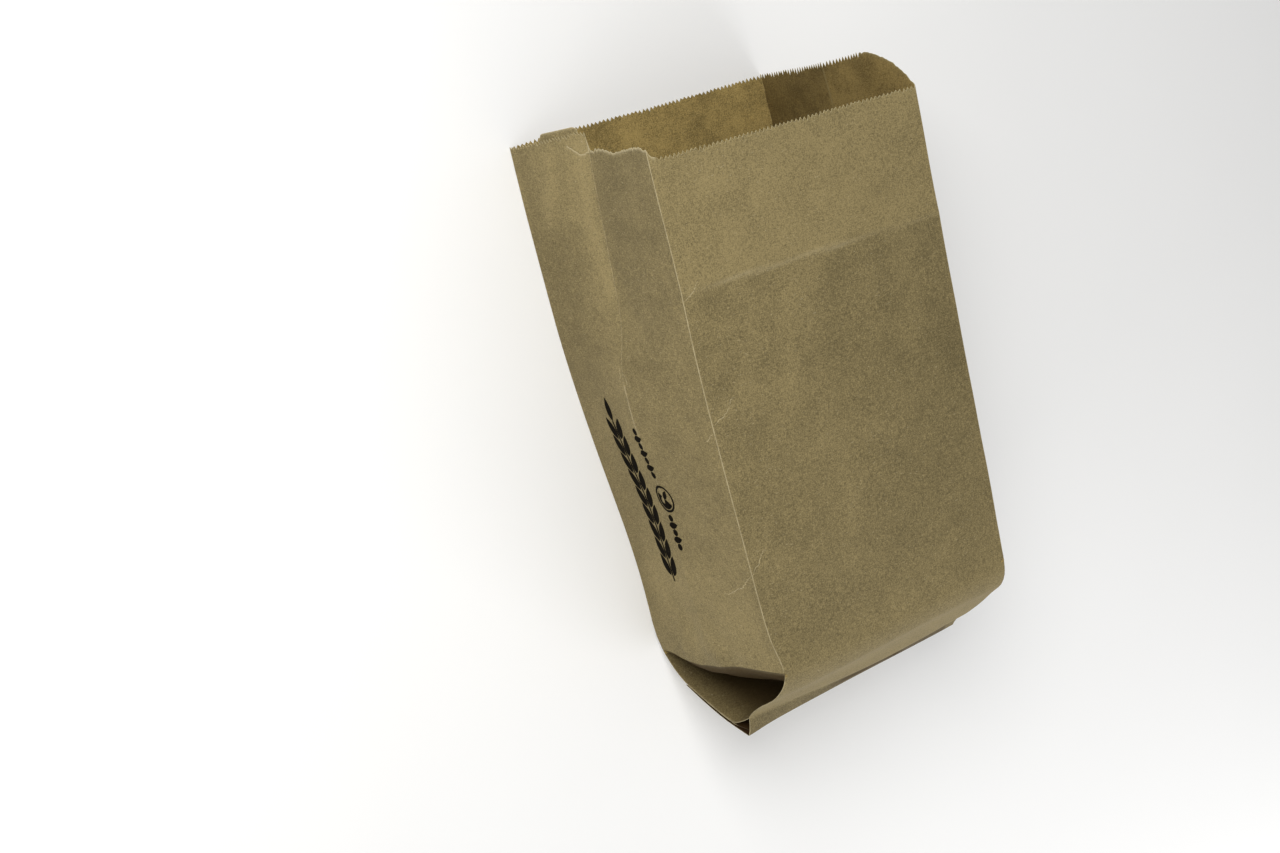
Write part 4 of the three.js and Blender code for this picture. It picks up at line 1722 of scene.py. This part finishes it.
    def wrap(self, onto: Onto, lift: float, film: float) -> bpy.types.Object:
        """Joins the shapes and lays them on a surface as a closed film.

        Args:
            onto: gives a point in metres for each layout point and height above the surface.
            lift: height of the film's face above the surface.
            film: the film's thickness.

        Returns:
            The print.
        """
        piece = join(self.name, self.shapes)
        layout = vertices_of(piece)
        layout[:, 2] = lift
        wrapped = onto(layout)
        set_vertices(piece, wrapped)
        above = layout.copy()
        above[:, 2] += 1.0
        out = (onto(above) - wrapped).mean(axis=0)
        lean = sum((face.normal * face.area for face in piece.data.polygons), Vector())
        if lean.dot(Vector(out)) < 0:
            flip_faces(piece)
        for face in piece.data.polygons:
            if face.normal.dot(Vector(out)) < 0:
                face.flip()
        apply_modifier(piece, "SOLIDIFY", thickness=film * MM, offset=-1.0, use_rim=True)
        return piece


@dataclass
class BagPrint:
    """Generic black print: a grain ear and a row of dots with a badge, and a row on the flap."""

    maker: SheetMaker
    lift: float = 0.07
    film: float = 0.05
    ear_from: float = 73.0
    ear_to: float = 163.0
    ear_z: Range = (39.2, 28.2)
    stem_width: float = 1.2
    grains: int = 9
    grain_size: Range = (11.5, 5.0)
    first_joint: float = 6.5
    grain_ahead: float = 1.5
    grain_beside: float = 3.9
    grain_turn: float = 24.0
    row: Range = (94.0, 152.0)
    row_z: Range = (54.6, 49.8)
    row_pitch: float = 3.5
    row_grain: Range = (7.0, 3.3)
    row_turn: float = 78.0
    dot: float = 1.7
    badge_y: float = 117.5
    badge_above: float = 0.8
    badge_radius: float = 6.6
    badge_ring: float = 1.1
    flap_marks: Point = (36.0, 96.0, 3.4)
    flap_y: float = 19.0
    flap_turn: float = 70.0
    flap_grain: Range = (4.6, 1.7)
    flap_bar: Range = (3.0, 0.9)

    def ear(self) -> bpy.types.Object:
        """Makes the grain ear beside the gusset's crease.

        Returns:
            The print.
        """
        stamp = InkStamp("ear_print")
        ends = np.array([(self.ear_from, self.ear_z[0]), (self.ear_to, self.ear_z[1])])
        span = float(np.linalg.norm(ends[1] - ends[0]))
        along = (ends[1] - ends[0]) / span
        across = np.array([-along[1], along[0]])
        tilt, turn = math.atan2(along[1], along[0]), math.radians(self.grain_turn)
        stem = span - self.grain_size[0]
        stamp.bar(tuple(ends[0] + along * stem / 2), tilt, stem, self.stem_width)
        pitch = (stem - self.grain_size[0]) / (self.grains - 1)
        for number in range(self.grains):
            joint = ends[0] + along * (self.first_joint + number * pitch)
            for way in (-1, 1):
                at = joint + along * self.grain_ahead + across * way * self.grain_beside
                stamp.grain(tuple(at), tilt + way * turn, *self.grain_size)
        tip = ends[1] - along * self.grain_size[0] / 2
        stamp.grain(tuple(tip), tilt, *self.grain_size)
        return stamp.wrap(self.maker.on_gusset, self.lift, self.film)

    def badge_row(self) -> bpy.types.Object:
        """Makes the small row with its round badge, in front of the crease.

        Returns:
            The print.
        """
        stamp = InkStamp("badge_print")
        for number, y in enumerate(np.arange(*self.row, self.row_pitch)):
            if abs(y - self.badge_y) > self.badge_radius + self.dot - 0.1:
                z = float(np.interp(y, self.row, self.row_z))
                if number % 2:
                    stamp.grain((y, z), math.radians(self.row_turn), *self.row_grain)
                else:
                    stamp.disc((y, z), self.dot)
        badge_z = float(np.interp(self.badge_y, self.row, self.row_z)) + self.badge_above
        badge = (self.badge_y, badge_z)
        stamp.ring(badge, self.badge_radius, self.badge_radius - self.badge_ring)
        stamp.half_disc(badge, math.radians(122), self.badge_radius - self.badge_ring - 0.5)
        stamp.grain((self.badge_y + 2.0, badge_z + 1.0), math.radians(32), 5.4, 2.6)
        return stamp.wrap(self.maker.on_gusset, self.lift, self.film)

    def flap_row(self) -> bpy.types.Object:
        """Makes the small row on the flap, where every fourth mark is a grain.

        Returns:
            The print.
        """
        stamp = InkStamp("flap_print")
        turn = math.radians(self.flap_turn)
        for number, x in enumerate(np.arange(*self.flap_marks)):
            if number % 4 == 3:
                stamp.grain((x, self.flap_y), turn, *self.flap_grain)
            else:
                stamp.bar((x, self.flap_y), turn, *self.flap_bar)
        return stamp.wrap(self.maker.on_flap, self.lift, self.film)

    def build(self) -> list[bpy.types.Object]:
        """Makes every print."""
        return [self.ear(), self.badge_row(), self.flap_row()]

    def dress(self, prints: Sequence[bpy.types.Object], ink: bpy.types.Material) -> None:
        """Gives the prints their ink."""
        for stamped in prints:
            stamped.data.materials.append(ink)


@dataclass
class FineCracks:
    """Fine pale lines where the paper has been crumpled, on the front panel and a gusset.

    Attributes:
        maker: lays the lines on the paper.
        front: lines on the front panel, as (x, y) corners.
        gusset: lines on the left gusset, as (y, z) corners.
        width: of a line at its widest.
    """

    maker: SheetMaker
    front: tuple[Pairs, ...] = (
        ((9.4, 163.2), (7.3, 161.6), (5.6, 160.0), (3.4, 159.8), (1.2, 158.4)),
        ((8.6, 217.6), (6.2, 214.4), (3.6, 212.9), (0.6, 211.3)),
        ((8.6, 99.4), (6.6, 97.6), (4.4, 94.1), (2.2, 92.8), (0.4, 90.4)),
        ((12.2, 167.0), (10.6, 165.4), (9.9, 163.9)),
    )
    gusset: tuple[Pairs, ...] = (
        ((154.6, 104.2), (153.4, 102.2), (151.2, 99.8), (150.6, 98.2)),
        ((90.2, 104.4), (87.4, 100.8), (82.8, 95.7), (81.2, 91.6), (77.0, 83.2), (76.6, 79.8)),
        ((181.0, 52.0), (178.4, 50.2), (176.6, 50.6), (172.4, 48.8)),
        ((178.0, 52.6), (175.4, 54.6), (171.0, 55.2)),
    )
    width: float = 0.42
    lift: float = 0.05
    film: float = 0.04

    def draw(self, name: str, lines: Sequence[Pairs], onto: Onto) -> bpy.types.Object:
        """Makes the lines of one wall.

        Args:
            name: the piece's name.
            lines: the corners of each line.
            onto: lays layout points on the wall.

        Returns:
            The lines, one piece.
        """
        stamp = InkStamp(name)
        for seed, line in enumerate(lines):
            stamp.thread(line, self.width, seed)
        return stamp.wrap(onto, self.lift, self.film)

    def build(self) -> list[bpy.types.Object]:
        """Makes the lines of both walls.

        Returns:
            One piece for each wall.
        """
        front = self.draw("front_cracks", self.front, self.maker.on_front)
        return [front, self.draw("gusset_cracks", self.gusset, self.maker.on_gusset)]

    def dress(self, cracks: Sequence[bpy.types.Object], fibres: bpy.types.Material) -> None:
        """Gives the lines the finish of cut fibres."""
        for lines in cracks:
            lines.data.materials.append(fibres)


# ---- Finishes ----


class NodeBench:
    """A new node material and short ways to add its nodes."""

    def __init__(self, name: str) -> None:
        """Starts the material with a Principled shader wired to its output.

        Args:
            name: the material's name.
        """
        self.material = bpy.data.materials.new(name)
        self.material.use_nodes = True
        self.tree = self.material.node_tree
        self.shader = self.tree.nodes["Principled BSDF"]

    def add(self, kind: str, **values: object) -> bpy.types.Node:
        """Adds a node.

        Args:
            kind: the node's type.
            values: properties of the node.

        Returns:
            The node.
        """
        node = self.tree.nodes.new(kind)
        for name, value in values.items():
            setattr(node, name, value)
        return node

    def link(self, source: Socket, target: Socket) -> None:
        """Wires one socket to another."""
        self.tree.links.new(source, target)

    def mapped(self, scale: Point) -> Socket:
        """Adds the object's own coordinates in millimetres.

        Args:
            scale: how much they are stretched along each axis.

        Returns:
            The coordinates.
        """
        place = self.add("ShaderNodeTexCoord")
        mapping = self.add("ShaderNodeMapping")
        mapping.inputs["Scale"].default_value = tuple(1000.0 * one for one in scale)
        self.link(place.outputs["Object"], mapping.inputs["Vector"])
        return mapping.outputs["Vector"]

    def noise(self, where: Socket, scale: float, detail: float, rough: float = 0.6) -> Socket:
        """Adds a noise value.

        Args:
            where: the coordinates.
            scale: noise cells for each unit of the coordinates.
            detail: levels of detail.
            rough: how strong the fine levels are.

        Returns:
            The value, about 0.5 in the middle.
        """
        noise = self.add("ShaderNodeTexNoise")
        noise.inputs["Scale"].default_value = scale
        noise.inputs["Detail"].default_value = detail
        noise.inputs["Roughness"].default_value = rough
        self.link(where, noise.inputs["Vector"])
        return noise.outputs["Fac"]

    def fit(self, value: Socket, low: float, high: float, to_low: float, to_high: float) -> Socket:
        """Moves a value from one range to another and holds it inside that.

        Args:
            value: the value.
            low: the start of its range.
            high: the end.
            to_low: what it is at the start.
            to_high: what it is at the end.

        Returns:
            The new value.
        """
        ranged = self.add("ShaderNodeMapRange")
        for name, number in zip(("From Min", "From Max", "To Min", "To Max"), (low, high, to_low, to_high)):
            ranged.inputs[name].default_value = number
        self.link(value, ranged.inputs["Value"])
        return ranged.outputs["Result"]

    def calculate(self, operation: str, first: Socket | float, second: Socket | float) -> Socket:
        """Adds a calculation of two values or numbers.

        Args:
            operation: its name, such as ADD.
            first: the first value.
            second: the second.

        Returns:
            The result.
        """
        node = self.add("ShaderNodeMath", operation=operation)
        for socket, value in zip(node.inputs, (first, second)):
            if isinstance(value, (int, float)):
                socket.default_value = value
            else:
                self.link(value, socket)
        return node.outputs[0]

    def blend(self, share: Socket, first: Socket | Color, second: Socket | Color) -> Socket:
        """Adds a mix of two colours.

        Args:
            share: how much of the second.
            first: the first colour.
            second: the second.

        Returns:
            The mixed colour.
        """
        mix = self.add("ShaderNodeMix", data_type="RGBA")
        self.link(share, mix.inputs["Factor"])
        for name, value in (("A", first), ("B", second)):
            socket = next(one for one in mix.inputs if one.name == name and one.type == "RGBA")
            if isinstance(value, tuple):
                socket.default_value = (*value, 1.0)
            else:
                self.link(value, socket)
        return next(one for one in mix.outputs if one.type == "RGBA")

    def mark(self, name: str) -> Socket:
        """Reads a value that the mesh carries for each point."""
        attribute = self.add("ShaderNodeAttribute", attribute_name=name)
        return attribute.outputs["Fac"]


@dataclass(frozen=True)
class KraftFinish:
    """Brown kraft paper.

    Attributes:
        base: its middle colour, linear.
        dark: the colour of the darker fibres.
        pale: the colour of worn creases, of their painted highlight and of cut fibres.
        dims_with: name of the mark of painted shade, deep in a fold.
        mottle: strength of the large soft patches.
        grain: depth of the fibre relief in millimetres.
        shadow: the painted shadow colour deep in a fold.
    """

    name: str
    base: Color
    dark: Color
    pale: Color
    dims_with: str
    mottle: float = 0.17
    roughness: float = 0.66
    specular: float = 0.1
    grain: float = 0.04
    shadow: Color = (0.022, 0.008, 0.002)

    def make(self) -> bpy.types.Material:
        """Builds the node material.

        Returns:
            The material.
        """
        bench = NodeBench(self.name)
        even = bench.mapped((1.0, 1.0, 1.0))
        along = bench.mapped((1.0, 0.24, 1.0))
        over = bench.mapped((0.3, 1.0, 0.3))
        speck = bench.noise(even, 1.9, 3.0, 0.75)
        fibre = bench.noise(along, 2.2, 2.0, 0.7)
        layers = (
            (bench.noise(even, 0.055, 3.0), self.mottle),
            (bench.noise(even, 0.19, 2.0), 0.08),
            (speck, 0.9),
            (fibre, 0.4),
            (bench.noise(over, 2.0, 2.0, 0.7), 0.4),
        )
        # Painted light and shade from the shade mark, to which the random mottle and grain are added.
        tone = bench.calculate("MULTIPLY", bench.mark("shade"), 0.16)
        for layer, strength in layers:
            tone = bench.calculate("ADD", tone, bench.fit(layer, 0.3, 0.7, -strength, strength))
        share = bench.fit(tone, -0.75, 0.75, 0.0, 1.0)
        light = tuple(min(1.0, one * 1.45) for one in self.base)
        colour = bench.blend(share, tuple(one * 0.58 for one in self.base), light)
        dots = bench.fit(bench.noise(along, 2.4, 1.0), 0.66, 0.76, 0.0, 0.55)
        colour = bench.blend(dots, colour, self.dark)
        hairs = bench.fit(bench.noise(over, 2.1, 1.0), 0.67, 0.77, 0.0, 0.4)
        colour = bench.blend(hairs, colour, self.pale)
        # Rubbed wear and painted highlight along the creases, in the pale colour.
        rub = bench.calculate("POWER", bench.mark("wear_and_highlight"), 1.5)
        patchy = bench.fit(bench.noise(even, 0.3, 2.0), 0.35, 0.62, 0.55, 1.0)
        colour = bench.blend(bench.calculate("MULTIPLY", rub, patchy), colour, self.pale)
        cut = bench.calculate("POWER", bench.mark("edge"), 5.0)
        colour = bench.blend(bench.calculate("MULTIPLY", cut, 0.85), colour, self.pale)
        # Painted shade deep in folds: mixes towards the shadow colour, and makes the paper rougher there.
        deep = bench.calculate("MULTIPLY", bench.mark(self.dims_with), 0.95)
        colour = bench.blend(deep, colour, self.shadow)
        bench.link(colour, bench.shader.inputs["Base Color"])
        bench.shader.inputs["Specular IOR Level"].default_value = self.specular
        rough = bench.fit(speck, 0.3, 0.7, self.roughness + 0.06, self.roughness - 0.06)
        bench.link(bench.calculate("MAXIMUM", rough, deep), bench.shader.inputs["Roughness"])
        bump = bench.add("ShaderNodeBump")
        bump.inputs["Strength"].default_value = 0.6
        bump.inputs["Distance"].default_value = self.grain * MM
        relief = bench.calculate("ADD", speck, bench.calculate("MULTIPLY", fibre, 0.8))
        bench.link(relief, bump.inputs["Height"])
        bench.link(bump.outputs["Normal"], bench.shader.inputs["Normal"])
        return bench.material


@dataclass(frozen=True)
class InkFinish:
    """Matt black printing ink that lets a little of the paper's grain through."""

    name: str = "black_ink"
    base: Color = (0.0045, 0.0034, 0.0018)
    thin: Color = (0.011, 0.0085, 0.005)
    roughness: float = 0.9
    specular: float = 0.03
    grain: float = 0.02

    def make(self) -> bpy.types.Material:
        """Builds the node material.

        Returns:
            The material.
        """
        bench = NodeBench(self.name)
        even = bench.mapped((1.0, 1.0, 1.0))
        speck = bench.noise(even, 0.9, 3.0, 0.7)
        colour = bench.blend(bench.fit(speck, 0.45, 0.75, 0.0, 1.0), self.base, self.thin)
        bench.link(colour, bench.shader.inputs["Base Color"])
        bench.shader.inputs["Roughness"].default_value = self.roughness
        bench.shader.inputs["Specular IOR Level"].default_value = self.specular
        bump = bench.add("ShaderNodeBump")
        bump.inputs["Strength"].default_value = 0.4
        bump.inputs["Distance"].default_value = self.grain * MM
        bench.link(speck, bump.inputs["Height"])
        bench.link(bump.outputs["Normal"], bench.shader.inputs["Normal"])
        return bench.material


@dataclass(frozen=True)
class FloorFinish:
    """Pale matt studio floor."""

    name: str = "pale_floor"
    base: Color = (0.93, 0.93, 0.925)
    roughness: float = 0.9

    def make(self) -> bpy.types.Material:
        """Builds the node material.

        Returns:
            The material.
        """
        bench = NodeBench(self.name)
        even = bench.mapped((1.0, 1.0, 1.0))
        cloud = bench.noise(even, 0.01, 2.0)
        dim = tuple(one * 0.98 for one in self.base)
        bench.link(bench.blend(cloud, self.base, dim), bench.shader.inputs["Base Color"])
        bench.shader.inputs["Roughness"].default_value = self.roughness
        return bench.material


# ---- Studio ----


@dataclass(frozen=True)
class SoftLight:
    """A square area light."""

    name: str
    at: Point
    size: float
    power: float
    colour: Color = (1.0, 1.0, 1.0)


@dataclass
class Studio:
    """Floor, lights and camera."""

    register: Register
    camera_at: Point = (-341.52, 374.47, 706.07)
    look: Point = (0.435, -0.28977, -0.85253)
    up: Point = (0.34598, 0.92791, -0.13886)
    lens: float = 50.0
    sensor: float = 36.0
    clip_end: float = 20.0
    floor_size: float = 6.0
    floor_gap: float = 0.0002
    aim: Point = (0.0, 0.0, 0.05)
    sky: float = 0.38
    lights: tuple[SoftLight, ...] = (
        SoftLight("key_light", (-0.32, 0.46, 0.66), 0.4, 4.7, (1.0, 0.995, 0.98)),
        SoftLight("side_fill", (-0.85, -0.16, 0.32), 0.7, 2.2, (1.0, 0.985, 0.96)),
        SoftLight("foot_fill", (0.24, -0.78, 0.4), 0.6, 3.4),
    )

    def floor(self) -> None:
        """Adds the floor under the bag."""
        deselect()
        bpy.ops.mesh.primitive_grid_add(x_subdivisions=4, y_subdivisions=4, size=self.floor_size)
        floor = bpy.context.object
        floor.name = "studio_floor"
        set_vertices(floor, vertices_of(floor) - np.array([0.0, 0.0, self.floor_gap]))
        floor.data.materials.append(FloorFinish().make())

    def light(self, soft: SoftLight) -> None:
        """Adds a light that shines at the bag.

        Args:
            soft: the light's values.
        """
        deselect()
        bpy.ops.object.light_add(type="AREA", location=soft.at)
        lamp = bpy.context.object
        lamp.name = soft.name
        lamp.data.size = soft.size
        lamp.data.energy = soft.power
        lamp.data.color = soft.colour
        aim = Vector(self.aim) - Vector(soft.at)
        lamp.rotation_euler = aim.to_track_quat("-Z", "Y").to_euler()

    def camera(self) -> None:
        """Adds the camera at the photograph's viewing angle."""
        deselect()
        bpy.ops.object.camera_add()
        camera = bpy.context.object
        camera.name = "view_camera"
        look, up = Vector(self.look).normalized(), Vector(self.up)
        right = look.cross(up).normalized()
        up = right.cross(look)
        turned = Matrix((right, up, -look)).transposed().to_4x4()
        at = self.register.metres(np.array(self.camera_at))
        camera.matrix_world = Matrix.Translation(at) @ turned
        camera.data.sensor_fit = "HORIZONTAL"
        camera.data.sensor_width = self.sensor
        camera.data.lens = self.lens
        camera.data.clip_end = self.clip_end
        bpy.context.scene.camera = camera

    def build(self) -> None:
        """Makes the floor, the lights, the sky's pale light and the camera."""
        self.floor()
        for soft in self.lights:
            self.light(soft)
        self.camera()
        world = bpy.data.worlds.new("studio_world")
        world.use_nodes = True
        background = world.node_tree.nodes["Background"]
        background.inputs["Color"].default_value = (1.0, 1.0, 1.0, 1.0)
        background.inputs["Strength"].default_value = self.sky
        bpy.context.scene.world = world
        bpy.context.scene.view_settings.view_transform = "Standard"


# ---- The whole ----


def own(piece: bpy.types.Object) -> None:
    """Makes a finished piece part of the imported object.

    Args:
        piece: the piece, in place.
    """
    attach(piece, "root")
    LOG.info("%s: %d faces", piece.name, len(piece.data.polygons))


def main() -> None:
    """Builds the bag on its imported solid, and the studio round it."""
    logging.basicConfig(level=logging.INFO, format="%(name)s: %(message)s")
    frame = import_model()
    deselect()

    shape = BagShape()
    register = Register.from_node(frame["nodes"]["paper_bag"], shape.flap_foot)
    LOG.info("register %s", register.origin)
    maker = SheetMaker(shape, register)
    kraft = {
        Layer.OUTSIDE: KraftFinish(
            "kraft_outside",
            (0.1925, 0.151, 0.0695),
            (0.07, 0.052, 0.022),
            (0.47, 0.4, 0.245),
            "hollow_shade",
            shadow=(0.046, 0.026, 0.008),
        ),
        Layer.INSIDE: KraftFinish(
            "kraft_inside", (0.284, 0.207, 0.075), (0.08, 0.05, 0.018), (0.42, 0.34, 0.16), "inside_shade", 0.5
        ),
        Layer.CUT_EDGE: KraftFinish(
            "kraft_cut_edge", (0.36, 0.3, 0.17), (0.2, 0.15, 0.07), (0.46, 0.4, 0.24), "hollow_shade"
        ),
    }
    finishes = {layer: finish.make() for layer, finish in kraft.items()}

    bag = PaperBag(maker)
    paper = bag.build()
    bag.dress(paper, finishes)
    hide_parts("paper_bag")
    own(paper)

    mouth_plies = MouthPlies(maker)
    plies = mouth_plies.build()
    mouth_plies.dress(plies, finishes)
    for ply in plies:
        own(ply)

    bag_print = BagPrint(maker)
    prints = bag_print.build()
    bag_print.dress(prints, InkFinish().make())
    for stamped in prints:
        own(stamped)

    fine_cracks = FineCracks(maker)
    cracks = fine_cracks.build()
    fine_cracks.dress(cracks, finishes[Layer.CUT_EDGE])
    for lines in cracks:
        own(lines)

    Studio(register).build()


if __name__ == "__main__":
    main()
